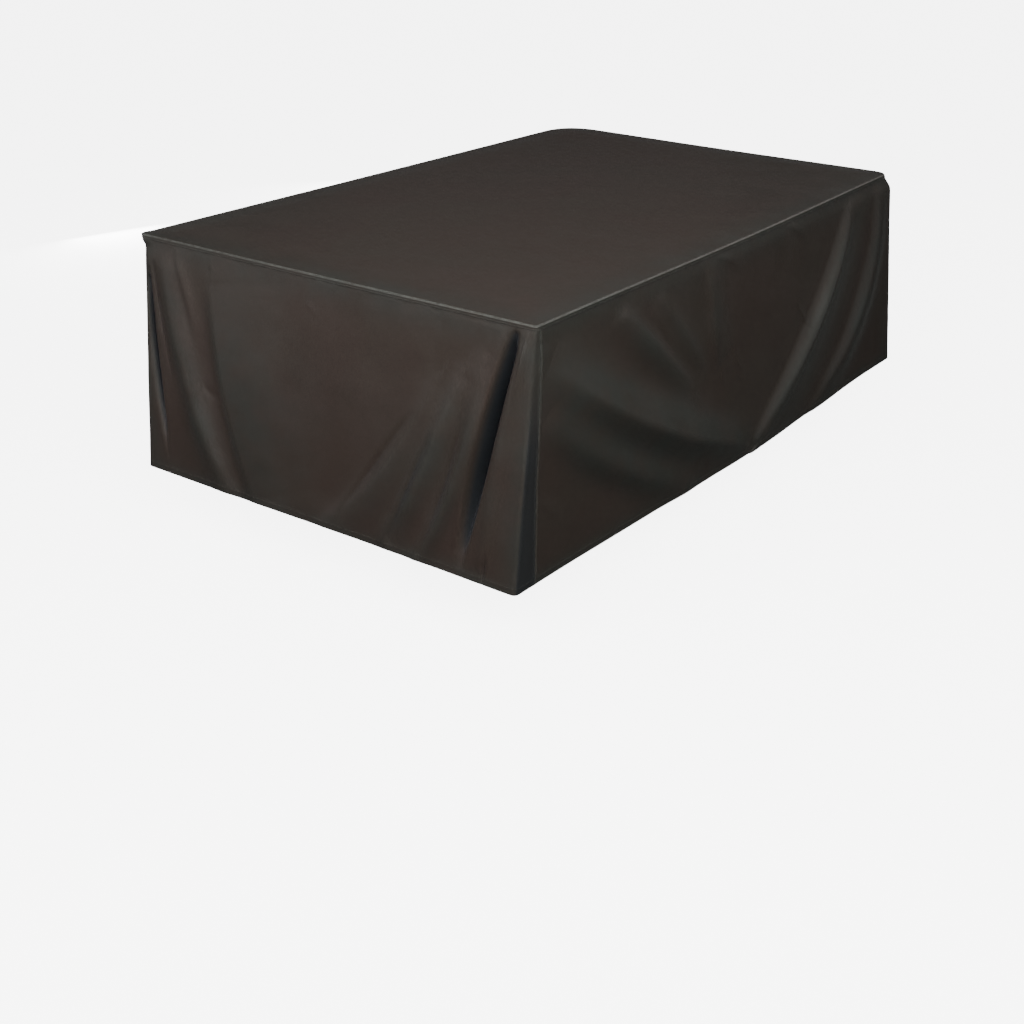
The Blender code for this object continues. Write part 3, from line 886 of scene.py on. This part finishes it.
@dataclass(frozen=True)
class SewingThread:
    """Twisted polyester thread, a little paler than the cloth."""

    colour: Colour = (0.105, 0.098, 0.084, 1.0)
    shade: float = 0.6
    twist: float = 5200.0
    twist_waver: float = 1.5
    twist_relief: Relief = Relief(0.00008, 0.6)
    roughness: float = 0.55

    def material(self, name: str) -> bpy.types.Material:
        """The finish as nodes: a fine banded twist in colour and bump.

        Args:
            name: the material's name.

        Returns:
            The material.
        """
        nodes = Nodes(name)
        here = nodes.add("TexCoord").outputs["Object"]
        bands = {"Vector": here, "Scale": self.twist, "Distortion": self.twist_waver}
        twist = nodes.add("TexWave", bands, bands_direction="DIAGONAL").outputs["Fac"]
        darker = tuple(self.shade * value for value in self.colour[:3]) + (1.0,)
        nodes.tree.links.new(nodes.mix(twist, darker, self.colour), nodes.shader.inputs["Base Color"])
        nodes.tree.links.new(nodes.bump(twist, self.twist_relief), nodes.shader.inputs["Normal"])
        nodes.shader.inputs["Roughness"].default_value = self.roughness
        return nodes.material


@dataclass(frozen=True)
class StitchRow:
    """A row of lockstitches along a line of points: each stitch is a short thread that dives at its ends."""

    pitch: float = 0.0042
    share: float = 0.74
    thickness: float = 0.00062
    rings: int = 4
    sides: int = 5
    end_gap: float = 0.02
    end_size: float = 0.35
    rise: float = 0.55
    dive: float = 0.15

    def stitches(self, line: Array, outward: Array) -> tuple[Array, Array, Array]:
        """Lays the stitches: even places along the line's length, and at each one a tube whose radius and
        rise are sines of the place along it. Its five-sided ends are each closed by a quad and a triangle.

        Args:
            line: rows of points along the seam.
            outward: the cloth's outward direction at each.

        Returns:
            Rows of points, rows of four point numbers and rows of three.
        """
        steps = np.linalg.norm(np.diff(line, axis=0), axis=1)
        travelled = np.concatenate(([0.0], np.cumsum(steps)))
        count = int(travelled[-1] / self.pitch)
        ring_place = np.linspace(self.end_gap, 1.0 - self.end_gap, self.rings)
        start = (np.arange(count) + 0.5 * (1 - self.share)) * self.pitch
        places = start[:, None] + ring_place * self.share * self.pitch
        centre = np.stack([np.interp(places, travelled, line[:, k]) for k in range(3)], axis=-1)
        normal = np.stack([np.interp(places, travelled, outward[:, k]) for k in range(3)], axis=-1)
        normal /= np.linalg.norm(normal, axis=-1, keepdims=True)
        ahead = centre[:, -1] - centre[:, 0]
        ahead = (ahead / np.linalg.norm(ahead, axis=-1, keepdims=True))[:, None]
        beside = np.cross(normal, ahead)
        swell = np.sin(np.pi * ring_place)
        radius = 0.5 * self.thickness * between(self.end_size, 1.0, swell)
        centre = centre + normal * (self.thickness * (self.rise * swell - self.dive))[:, None]
        angle = 2 * np.pi * np.arange(self.sides) / self.sides
        round_it = np.cos(angle)[:, None] * normal[:, :, None] + np.sin(angle)[:, None] * beside[:, :, None]
        points = centre[:, :, None] + radius[:, None, None] * round_it
        ring = np.arange(self.rings - 1)[:, None] * self.sides
        here, after = np.arange(self.sides), (np.arange(self.sides) + 1) % self.sides
        walls = (ring + here, ring + after, ring + self.sides + after, ring + self.sides + here)
        last = (self.rings - 1) * self.sides
        ends = np.array([[0, 3, 2, 1], [last, last + 1, last + 2, last + 3]])
        one = np.vstack((np.stack(walls, axis=-1).reshape(-1, 4), ends))
        tips = np.array([[0, 4, 3], [last, last + 3, last + 4]])
        each = (np.arange(count) * self.rings * self.sides)[:, None, None]
        return points.reshape(-1, 3), (one + each).reshape(-1, 4), (tips + each).reshape(-1, 3)


class Sewing:
    """The stitching that goes with one panel, gathered row by row and made one piece."""

    def __init__(self, name: str, thread: bpy.types.Material) -> None:
        """Starts with no rows.

        Args:
            name: the piece's name.
            thread: the thread's material.
        """
        self.name, self.thread = name, thread
        self.points: list[Array] = []
        self.quads: list[Array] = []
        self.tips: list[Array] = []
        self.total = 0

    def add(self, row: StitchRow, line: Array, outward: Array) -> None:
        """Adds one row of stitches.

        Args:
            row: the stitches' sizes.
            line: rows of points along the seam.
            outward: the cloth's outward direction at each.
        """
        points, quads, tips = row.stitches(line, outward)
        self.points.append(points)
        self.quads.append(quads + self.total)
        self.tips.append(tips + self.total)
        self.total += len(points)

    def build(self) -> bpy.types.Object:
        """Makes the piece, with every stitch a closed tube.

        Returns:
            The piece.
        """
        quads, tips = np.vstack(self.quads), np.vstack(self.tips)
        triangles = np.vstack((quads[:, [0, 1, 2]], quads[:, [0, 2, 3]], tips))
        piece = make_mesh(self.name, np.vstack(self.points), triangles)
        piece.data.materials.append(self.thread)
        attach(piece, "root")
        return piece


def outward_at(box: HangingBox, side: Side, along: Array, depth: Array, line: Array) -> Array:
    """The outward direction of a side's cloth, from how its surface moves when it is made prouder."""
    moved = box.side_surface(side, along, depth, MILLIMETRE) - line
    return moved / np.linalg.norm(moved, axis=1, keepdims=True)


@dataclass
class SidePanel:
    """One side: a sheet from under the welt to its turned-up hem, its upright edges turned in at the
    seams. Where its closer columns run is given in parts of its length."""

    box: HangingBox
    side: Side
    name: str
    node: str
    cloth: bpy.types.Material
    thread: bpy.types.Material
    flat: tuple[float, float]
    spacing: float = 0.0052
    row_spacing: float = 0.0062
    closer_columns: tuple[tuple[float, float], ...] = ()
    extra_closeness: float = 1.3
    samples: int = 2001
    corner_columns: int = 12
    seam_columns: int = 5
    turn_columns: int = 4
    welt_cover: float = 0.0065
    upper_depth: float = 0.060
    upper_rows: int = 14
    least_rows: int = 8
    hem_height: float = 0.022
    hem_thickness: float = 0.0016
    # Where the hem's middle lies, in halves of its thickness: less is inside the cloth's face.
    hem_centre: float = -0.5
    hem_inner: tuple[float, ...] = (0.016, 0.010, 0.005, 0.002)
    hem_fold_rows: int = 7
    hem_rows: int = 8
    hem_start: float = 0.004
    hem_step: float = 0.003
    hem_ramp: float = 0.002
    seam_gap: float = 0.00015
    seam_turn: float = 0.0014
    seam_allowance: float = 0.007
    seam_fold: float = 0.004
    seam_lip: float = 0.0008
    seam_lip_width: float = 0.004
    # Wear and painted highlight along the seams' lips and the hem's fold: how much and how wide.
    seam_wear_and_highlight: float = 0.24
    seam_wear_and_highlight_width: float = 0.0022
    hem_wear_and_highlight: float = 0.22
    hem_wear_and_highlight_width: float = 0.0030
    hem_row_points: int = 900
    hem_row_clear: float = 0.006
    hem_row_proud: float = 0.0004
    seam_row_points: int = 300
    seam_row_from: float = 0.014
    seam_row_inset: float = 0.0052
    seam_row_proud: float = 0.0002
    piece: bpy.types.Object = field(init=False, default=None)

    def profile(self) -> tuple[Array, Array]:
        """The sheet's path from the hem's inner edge, round the fold at the bottom on a half circle, and up
        to the welt.

        Returns:
            The depth of each row, and how far it stands proud of the cloth's face, less inside the hem.
        """
        drop, half = self.box.drop, self.hem_thickness / 2
        centre = self.hem_centre * half
        inner = drop - np.array((self.hem_height, *self.hem_inner))
        angle = np.linspace(0.0, np.pi, self.hem_fold_rows)
        fold_depth = drop - half + half * np.sin(angle)
        fold_proud = centre - half * np.cos(angle)
        hem = drop - np.linspace(self.hem_start, self.hem_height + self.hem_step, self.hem_rows)
        wall_length = drop - self.hem_height - self.upper_depth - self.hem_step
        rows = max(self.least_rows, int(wall_length / self.row_spacing))
        wall = np.linspace(drop - self.hem_height - 2 * self.hem_step, self.upper_depth, rows)
        upper = np.linspace(self.upper_depth, self.welt_cover, self.upper_rows)[1:]
        outer = np.concatenate((hem, wall, upper))
        into_hem = (self.hem_height - (drop - outer)) / self.hem_ramp
        outer_proud = (centre + half) * smooth_step(into_hem + 1.0)
        proud = np.concatenate((np.full(len(inner), centre - half), fold_proud, outer_proud))
        return np.concatenate((inner, fold_depth, outer)), proud

    def columns(self, depth: Array) -> tuple[Array, Array]:
        """The distances along the side of every column, for each row, and how far each column is set in.

        The columns run from the seam at the first corner to the seam at the last one, closer together round
        a corner. Both ends turn inwards on a quarter circle as the seam allowance, and the columns between
        them are held clear of the two turns.

        Args:
            depth: the depth of each row.

        Returns:
            A row of distances for each depth, and one row of how far each column stands proud.
        """
        start, end = self.box.corners(self.side)
        length = self.box.run(self.side).length
        part = np.clip(depth / self.box.drop, 0.0, 1.0)[:, None]
        first = start.seam(part) + self.seam_gap
        last = length + end.seam(part) - self.seam_gap
        places: list[Array] = []
        low, high = first, last
        around = np.linspace(-1.0, 1.0, self.corner_columns + 1)
        to_seam = np.linspace(0, 1, self.seam_columns)
        if start.seam_top < 0:
            radius = start.radius(part)
            places += [between(first, -radius, to_seam[:-1]), radius * around[:-1]]
            low = radius
        tail: list[Array] = []
        if end.seam_top > 0:
            radius = end.radius(part)
            high = length - radius
            tail += [length + radius * around[1:], between(length + radius, last, to_seam[1:])]
        places += [between(low, high, self.shares(length)), *tail]
        inner = np.hstack(places)[:, 1:-1]
        turn = np.linspace(0.0, np.pi / 2, self.turn_columns + 1)[:-1]
        into, inwards = self.seam_turn * (1 - np.cos(turn)), self.seam_turn * (1 - np.sin(turn))
        set_in = np.concatenate(((self.seam_allowance, self.seam_fold), inwards))
        shift = np.concatenate((np.zeros(2), into))
        share = (inner - first) / (last - first)
        inner = first + self.seam_turn + (last - first - 2 * self.seam_turn) * share
        along = np.hstack((first + shift, inner, last - shift[::-1]))
        return along, np.concatenate((-set_in, np.zeros(inner.shape[1]), -set_in[::-1]))

    def shares(self, length: float) -> Array:
        """Places across the side, even but closer together where its narrow creases run.

        Args:
            length: the side's length.

        Returns:
            The places, from 0 to 1.
        """
        place = np.linspace(0.0, 1.0, self.samples)
        closeness = np.ones(len(place))
        for first, last in self.closer_columns:
            closeness += self.extra_closeness * ((place >= first) & (place <= last))
        steps = 0.5 * (closeness[1:] + closeness[:-1])
        travelled = np.concatenate(([0.0], np.cumsum(steps))) / (len(place) - 1)
        count = int(length * travelled[-1] / self.spacing)
        return np.interp(np.linspace(0.0, travelled[-1], count + 1), travelled, place)

    def wear_and_highlight(self, along: Array, depth: Array, first: Array, last: Array) -> Array:
        """How worn the coating is, together with a painted highlight: most at the seams' lips and at the
        hem's fold.

        Args:
            along: the distances along the side.
            depth: the depths below the top.
            first: the distance of the first seam, at each point.
            last: the distance of the last seam.

        Returns:
            The wear and painted highlight at each point, from 0 to 1.
        """
        to_seam = np.minimum(np.abs(along - first), np.abs(along - last))
        seams = self.seam_wear_and_highlight * bell(to_seam, self.seam_wear_and_highlight_width)
        return np.clip(seams + self.hem_wear_and_highlight * bell(self.box.drop - depth, self.hem_wear_and_highlight_width), 0.0, 1.0)

    def build(self) -> None:
        """Works the sheet out on the grid of its profile and its columns, and makes the piece."""
        depth_rows, proud_rows = self.profile()
        along, proud_columns = self.columns(depth_rows)
        rows, columns = along.shape
        depth = np.repeat(depth_rows, columns)
        flat_along = along.ravel()
        to_edge = np.minimum(along - along[:, :1], along[:, -1:] - along)
        lip = self.seam_lip * np.exp(-to_edge / self.seam_lip_width)
        proud = (proud_rows[:, None] + proud_columns + lip).ravel()
        points = self.box.side_surface(self.side, flat_along, depth, proud)
        first, last = np.repeat(along[:, 0], columns), np.repeat(along[:, -1], columns)
        # Wear with painted highlights along the seams and hem, painted shade in troughs, and weathering.
        values = {
            "wear_and_highlight": self.wear_and_highlight(flat_along, depth, first, last),
            "painted_shade": self.box.round_corners(self.box.painted_shade, self.side, flat_along, depth),
            "weather": self.box.round_corners(self.box.weather, self.side, flat_along, depth),
        }
        # Painted shade low down where the left end turns round the near corner.
        if self.side is Side.LEFT_END:
            values["painted_shade"] = np.maximum(values["painted_shade"], self.box.corner_painted_shade(flat_along, depth))
        uv = np.column_stack((flat_along, depth))
        self.piece = make_mesh(self.name, points, grid_faces(rows, columns), uv, values)
        self.piece.data.materials.append(self.cloth)
        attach(self.piece, "root")
        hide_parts(self.node)

    def line(self, along: Array, depth: Array, proud: float = 0.0) -> tuple[Array, Array]:
        """A line on the cloth, for a row of stitches.

        Args:
            along: the distances of its points along the side.
            depth: their depths below the top.
            proud: how far out it stands.

        Returns:
            Rows of points and the outward direction at each.
        """
        face = self.box.side_surface(self.side, along, depth)
        points = self.box.side_surface(self.side, along, depth, proud)
        return points, outward_at(self.box, self.side, along, depth, face)

    def sew(self, row: StitchRow) -> bpy.types.Object:
        """Lays the hem's row and one row beside each upright seam.

        Args:
            row: the stitches of the three rows.

        Returns:
            The stitching piece.
        """
        sewing = Sewing(self.name.replace("cloth", "stitching"), self.thread)
        start, end = self.box.corners(self.side)
        length, drop = self.box.run(self.side).length, self.box.drop
        part, clear, count = 1.0 - self.hem_height / drop, self.hem_row_clear, self.hem_row_points
        along = np.linspace(start.seam(part) + clear, length + end.seam(part) - clear, count)
        depth = np.full(count, drop - self.hem_height + self.hem_step)
        sewing.add(row, *self.line(along, depth, self.hem_row_proud))
        depth = np.linspace(self.seam_row_from, drop - self.hem_start, self.seam_row_points)
        part = depth / drop
        for along in (start.seam(part) + self.seam_row_inset, length + end.seam(part) - self.seam_row_inset):
            sewing.add(row, *self.line(along, depth, self.seam_row_proud))
        return sewing.build()

    def declare(self, stitching: bpy.types.Object, held_by: str) -> None:
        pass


@dataclass
class TopPanel:
    """The top: a sheet that lies flat, rises in a ridge along its seam, and turns down over the sides as a
    welt whose edge is folded under."""

    box: HangingBox
    cloth: bpy.types.Material
    thread: bpy.types.Material
    name: str = "top_cloth"
    node: str = "top_panel"
    spacing: float = 0.0095
    edge_lines: tuple[float, ...] = (
        0.0, 0.0009, 0.0019, 0.0030, 0.0044, 0.0058, 0.0072, 0.0088, 0.0106, 0.013, 0.017, 0.023, 0.031,
        0.042, 0.055, 0.069, 0.084, 0.098, 0.110,
    )
    ridge: float = 0.0016
    ridge_place: float = 0.0014
    ridge_width: float = 0.0026
    groove: float = 0.0006
    groove_place: float = 0.0075
    groove_width: float = 0.0020
    flat: tuple[float, float] = (1.392, 2.162)
    # The welt's profile below the top's edge: depth and how far proud of the sides, both in millimetres.
    welt_profile: tuple[tuple[float, float], ...] = (
        (0.5, 1.0), (1.3, 1.7), (2.4, 2.0), (4.0, 1.8), (6.0, 1.5), (8.0, 1.5), (9.6, 1.6), (10.3, 1.3),
        (10.5, 0.8), (10.2, 0.35), (9.0, 0.2), (5.0, 0.2),
    )
    lift: Ripple = Ripple(53, 0.34, 0.30)
    lift_height: float = 0.0004
    lift_from: float = 0.12
    rim_ramp: float = 0.0012
    rim_shift: float = 2.5
    # Wear and painted highlight along the top's seam ridge: how much and how wide.
    ridge_wear_and_highlight: float = 0.50
    ridge_wear_and_highlight_width: float = 0.0019
    weather_width: float = 0.075
    outer_rings: int = 9
    # How rubbed the welt is, with a painted highlight, at two depths: the depth and the width in millimetres,
    # and how much.
    welt_wears_and_highlights: tuple[tuple[float, float, float], ...] = ((0.5, 1.2, 0.40), (10.2, 0.9, 0.25))
    welt_row_depth: float = 0.0074
    welt_row_proud: float = 0.0016
    welt_row_clear: float = 0.004
    welt_row_step: float = 0.003
    top_row_inset: float = 0.0075
    top_row_step: float = 0.004
    piece: bpy.types.Object = field(init=False, default=None)

    def lines(self, length: float) -> Array:
        """The lines of the top's grid: close together by both edges and even between.

        Args:
            length: the top's length or width.

        Returns:
            The lines' distances from one edge.
        """
        near = np.array(self.edge_lines)
        count = int((length - 2 * near[-1]) / self.spacing)
        middle = np.linspace(near[-1], length - near[-1], count)[1:-1]
        return np.concatenate((near, middle, (length - near)[::-1]))

    def raised(self, inside: Array, x_flat: Array, y_flat: Array) -> Array:
        """The seam's ridge less the stitch line's groove, each a bell of the distance from the edge, and a
        slow unevenness further in.

        Args:
            inside: distances from the nearest edge.
            x_flat: distances across the top from its -X edge.
            y_flat: distances across the top from its -Y edge.

        Returns:
            How much higher each point lies.
        """
        seam = self.ridge * bell(inside - self.ridge_place, self.ridge_width)
        seam = seam - self.groove * bell(inside - self.groove_place, self.groove_width)
        seam = seam * smooth_step(inside / self.rim_ramp)
        return seam + self.lift_height * self.lift.at(x_flat, y_flat) * smooth_step(inside / self.lift_from)

    def loop(self, x_lines: Array, y_lines: Array) -> tuple[list[tuple[Side, Array]], Array]:
        """The top's boundary, side by side in order round it.

        Args:
            x_lines: the grid's distances from the -X edge.
            y_lines: the grid's distances from the -Y edge.

        Returns:
            Each side with its points' distances along it, and the numbers of those points in the grid.
        """
        columns, rows = len(x_lines), len(y_lines)
        front = np.arange(columns - 1)
        right = columns - 1 + np.arange(rows - 1) * columns
        rear = rows * columns - 1 - np.arange(columns - 1)
        left = (rows - 1 - np.arange(rows - 1)) * columns
        runs = [
            (Side.FRONT, x_lines[:-1]),
            (Side.RIGHT_END, y_lines[:-1]),
            (Side.REAR, (self.box.length - x_lines[::-1])[:-1]),
            (Side.LEFT_END, (self.box.width - y_lines[::-1])[:-1]),
        ]
        return runs, np.concatenate((front, right, rear, left))

    def build(self) -> None:
        """Works out the top's grid and, round its boundary, the welt's profile, and joins them."""
        x_lines, y_lines = self.lines(self.box.length), self.lines(self.box.width)
        x_grid, y_grid = np.meshgrid(x_lines, y_lines)
        x_flat, y_flat = x_grid.ravel(), y_grid.ravel()
        from_x = np.minimum(x_flat, self.box.length - x_flat)
        inside = np.minimum(from_x, np.minimum(y_flat, self.box.width - y_flat))
        top = self.box.top_surface(x_flat, y_flat, self.raised(inside, x_flat, y_flat))
        runs, rim = self.loop(x_lines, y_lines)
        count = len(rim)
        rings, ring_uv = [], []
        travelled = np.concatenate([along + self.rim_shift * side.value for side, along in runs])
        for depth, proud in np.array(self.welt_profile) * MILLIMETRE:
            strip = [
                self.box.side_surface(side, along, np.full(len(along), depth), proud) for side, along in runs
            ]
            rings.append(np.vstack(strip))
            ring_uv.append(np.column_stack((travelled, np.full(count, -depth))))
        points = np.vstack([top, *rings])
        grid = grid_faces(len(y_lines), len(x_lines))
        around = np.arange(count)
        loops = [rim] + [len(top) + k * count + around for k in range(len(rings))]
        strips = [
            np.column_stack((low, np.roll(low, -1), np.roll(high, -1), high))
            for high, low in zip(loops[:-1], loops[1:])
        ]
        uv = np.vstack([np.column_stack((x_flat, y_flat)), *ring_uv])
        # Wear and painted highlight along the seam's ridge and round the welt.
        wear_and_highlight = self.ridge_wear_and_highlight * bell(inside - self.ridge_place, self.ridge_wear_and_highlight_width)
        weather = bell(inside, self.weather_width)
        values = {
            "wear_and_highlight": np.concatenate([wear_and_highlight, np.repeat(self.welt_wear_and_highlight(), count)]),
            "weather": np.concatenate([weather, np.ones(len(rings) * count)]),
        }
        self.piece = make_mesh(self.name, points, np.vstack([grid, *strips]), uv, values)
        self.piece.data.materials.append(self.cloth)
        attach(self.piece, "root")
        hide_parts(self.node)

    def welt_wear_and_highlight(self) -> Array:
        """How worn each ring of the welt is, with a painted highlight: most on the ridge and at the folded
        edge, and not inside.

        Returns:
            The wear and painted highlight of each ring, from 0 to 1.
        """
        depth = np.array(self.welt_profile)[:, 0]
        outer = np.arange(len(depth)) < self.outer_rings
        wear_and_highlight = sum(most * bell(depth - place, width) for place, width, most in self.welt_wears_and_highlights)
        return outer * np.clip(wear_and_highlight, 0.0, 1.0)

    def sew(self, row: StitchRow) -> bpy.types.Object:
        """Lays one row of stitches down the welt and one on the top beside it.

        Args:
            row: the stitches of both rows.

        Returns:
            The stitching piece.
        """
        sewing = Sewing("top_stitching", self.thread)
        for side in Side:
            run = self.box.run(side)
            clear, count = self.welt_row_clear, int(run.length / self.welt_row_step)
            along = np.linspace(clear, run.length - clear, count)
            depth = np.full(count, self.welt_row_depth)
            face = self.box.side_surface(side, along, depth)
            points = self.box.side_surface(side, along, depth, self.welt_row_proud)
            sewing.add(row, points, outward_at(self.box, side, along, depth, face))
            inset = self.top_row_inset
            along = np.linspace(inset, run.length - inset, int(run.length / self.top_row_step))
            across = np.full(len(along), inset)
            x_flat, y_flat = {
                Side.FRONT: (along, across),
                Side.RIGHT_END: (self.box.length - across, along),
                Side.REAR: (self.box.length - along, self.box.width - across),
                Side.LEFT_END: (across, self.box.width - along),
            }[side]
            raised = self.raised(across, x_flat, y_flat)
            line = self.box.top_surface(x_flat, y_flat, raised)
            sewing.add(row, line, np.tile((0.0, 0.0, 1.0), (len(line), 1)))
        return sewing.build()

    def declare(self, stitching: bpy.types.Object) -> None:
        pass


@dataclass(frozen=True)
class Softbox:
    """One soft studio light: where it stands, its power, size and colour, and the place it points at."""

    name: str
    place: tuple[float, float, float]
    power: float
    size: float = 2.4
    colour: tuple[float, float, float] = (1.0, 1.0, 1.0)
    target: tuple[float, float, float] = (0.0, 0.0, -0.3)

    def build(self) -> None:
        """Makes the area light, turned to its target and itself out of sight."""
        light = bpy.data.lights.new(self.name, "AREA")
        light.size, light.energy, light.color = self.size, self.power, self.colour
        lamp = bpy.data.objects.new(self.name, light)
        lamp.location = self.place
        lamp.rotation_mode = "QUATERNION"
        aim = Vector(self.target) - Vector(self.place)
        lamp.rotation_quaternion = aim.to_track_quat("-Z", "Y")
        lamp.visible_camera = False
        bpy.context.scene.collection.objects.link(lamp)


@dataclass(frozen=True)
class Studio:
    """The plain pale floor, the soft lights, the even surround and the camera."""

    floor_height: float = -0.845
    floor_reach: float = 40.0
    floor_colour: Colour = (0.86, 0.86, 0.86, 1.0)
    floor_roughness: float = 0.9
    floor_specular: float = 0.1
    floor_glow: float = 7.0
    surround: Colour = (0.85, 0.95, 1.0, 1.0)
    surround_strength: float = 0.015
    camera_place: tuple[float, float, float] = (-3.412, -2.352, 0.948)
    camera_forward: tuple[float, float, float] = (0.7223, 0.5318, -0.4421)
    lens: float = 46.36
    sensor: float = 36.0
    clip: tuple[float, float] = (0.1, 200.0)
    lights: tuple[Softbox, ...] = (
        Softbox("left_key_light", (-3.64, 0.00, 1.80), 121.0, 2.4, (1.00, 0.98, 0.96)),
        Softbox("front_key_light", (-1.97, -2.82, 2.11), 165.0, 2.4, (0.94, 1.00, 0.96)),
        Softbox("camera_side_light", (-4.31, -3.02, 1.62), 53.0, 3.2, (0.97, 1.00, 0.98)),
        Softbox("right_light", (3.23, -1.18, 2.11), 18.0, 2.4, (1.00, 0.84, 0.80)),
        Softbox("back_right_light", (2.60, 1.90, 1.60), 1.2, 2.4, (1.00, 0.70, 0.66)),
        Softbox("low_left_light", (-3.17, 2.66, 0.43), 10.0),
        Softbox("rear_corner_light", (3.00, 3.20, -0.55), 62.0, 0.5),
        Softbox("rear_light", (1.00, 3.60, -0.55), 18.0, 0.5),
        Softbox("low_front_light", (2.03, -3.51, 0.79), 7.0, 2.4, (0.85, 0.95, 1.00)),
    )

    def build_floor(self) -> None:
        """Makes the floor as one large quad, with four far walls in the same paint."""
        reach = self.floor_reach
        corners = np.array([(-reach, -reach), (reach, -reach), (reach, reach), (-reach, reach)])
        low = np.column_stack((corners, np.full(4, self.floor_height)))
        high = low + (0.0, 0.0, reach)
        after = np.roll(np.arange(4), -1)
        walls = np.stack((low, high, high[after], low[after]), axis=1).reshape(-1, 3)
        points = np.vstack((low, walls))
        floor = make_mesh("floor", points, np.arange(len(points)).reshape(-1, 4))
        nodes = Nodes("floor_paint")
        nodes.shader.inputs["Base Color"].default_value = self.floor_colour
        nodes.shader.inputs["Roughness"].default_value = self.floor_roughness
        nodes.shader.inputs["Specular IOR Level"].default_value = self.floor_specular
        nodes.shader.inputs["Emission Color"].default_value = self.floor_colour
        nodes.shader.inputs["Emission Strength"].default_value = self.floor_glow
        floor.data.materials.append(nodes.material)
        floor.visible_glossy = False
        floor.visible_diffuse = False

    def build_surround(self) -> None:
        """Sets the even light of the room."""
        world = bpy.data.worlds.new("studio")
        bpy.context.scene.world = world
        world.use_nodes = True
        background = world.node_tree.nodes["Background"]
        background.inputs["Color"].default_value = self.surround
        background.inputs["Strength"].default_value = self.surround_strength

    def build_camera(self) -> None:
        """Makes the camera at the photograph's viewing angle."""
        camera = bpy.data.cameras.new("camera")
        camera.lens, camera.sensor_width = self.lens, self.sensor
        camera.clip_start, camera.clip_end = self.clip
        holder = bpy.data.objects.new("camera", camera)
        holder.location = self.camera_place
        holder.rotation_mode = "QUATERNION"
        holder.rotation_quaternion = Vector(self.camera_forward).to_track_quat("-Z", "Y")
        bpy.context.scene.collection.objects.link(holder)
        bpy.context.scene.camera = holder

    def build(self) -> None:
        """Builds the whole studio."""
        self.build_floor()
        self.build_surround()
        for light in self.lights:
            light.build()
        self.build_camera()


def save_sizes() -> None:
    """Brings the view layer up to date."""
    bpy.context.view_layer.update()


def report(*pieces: bpy.types.Object) -> None:
    """Logs each finished piece with its number of faces."""
    for piece in pieces:
        log.info("%s: %d faces", piece.name, len(piece.data.polygons))


def main() -> None:
    """Builds the studio, the top, the four sides and their sewing, in that order."""
    logging.basicConfig(level=logging.INFO, format="%(name)s: %(message)s")
    for old in [o for o in bpy.data.objects if o.name in ("Cube", "Light", "Camera")]:
        bpy.data.objects.remove(old, do_unlink=True)
    Studio().build()
    box = HangingBox()
    cloth = CoatedCloth().material("coated_cloth")
    thread = SewingThread().material("sewing_thread")
    row = StitchRow()
    top = TopPanel(box, cloth, thread)
    top.build()
    stitching = top.sew(row)
    top.declare(stitching)
    report(top.piece, stitching)
    # Each side's name, its cut size, the spacing of its columns and rows, and where its columns are closer.
    for side, name, flat, spacing, row_spacing, closer in (
        (Side.FRONT, "front", (0.730, 2.290), 0.0052, 0.0062, ()),
        (Side.RIGHT_END, "right_end", (0.730, 1.560), 0.0070, 0.0080, ()),
        (Side.REAR, "rear", (0.730, 2.120), 0.0075, 0.0080, ()),
        (Side.LEFT_END, "left_end", (0.730, 1.480), 0.0045, 0.0062, ((0.0, 0.09), (0.86, 1.0))),
    ):
        panel = SidePanel(
            box, side, name + "_cloth", name + "_panel", cloth, thread, flat, spacing, row_spacing, closer
        )
        panel.build()
        stitching = panel.sew(row)
        panel.declare(stitching, top.name)
        report(panel.piece, stitching)
    save_sizes()


if __name__ == "__main__":
    main()
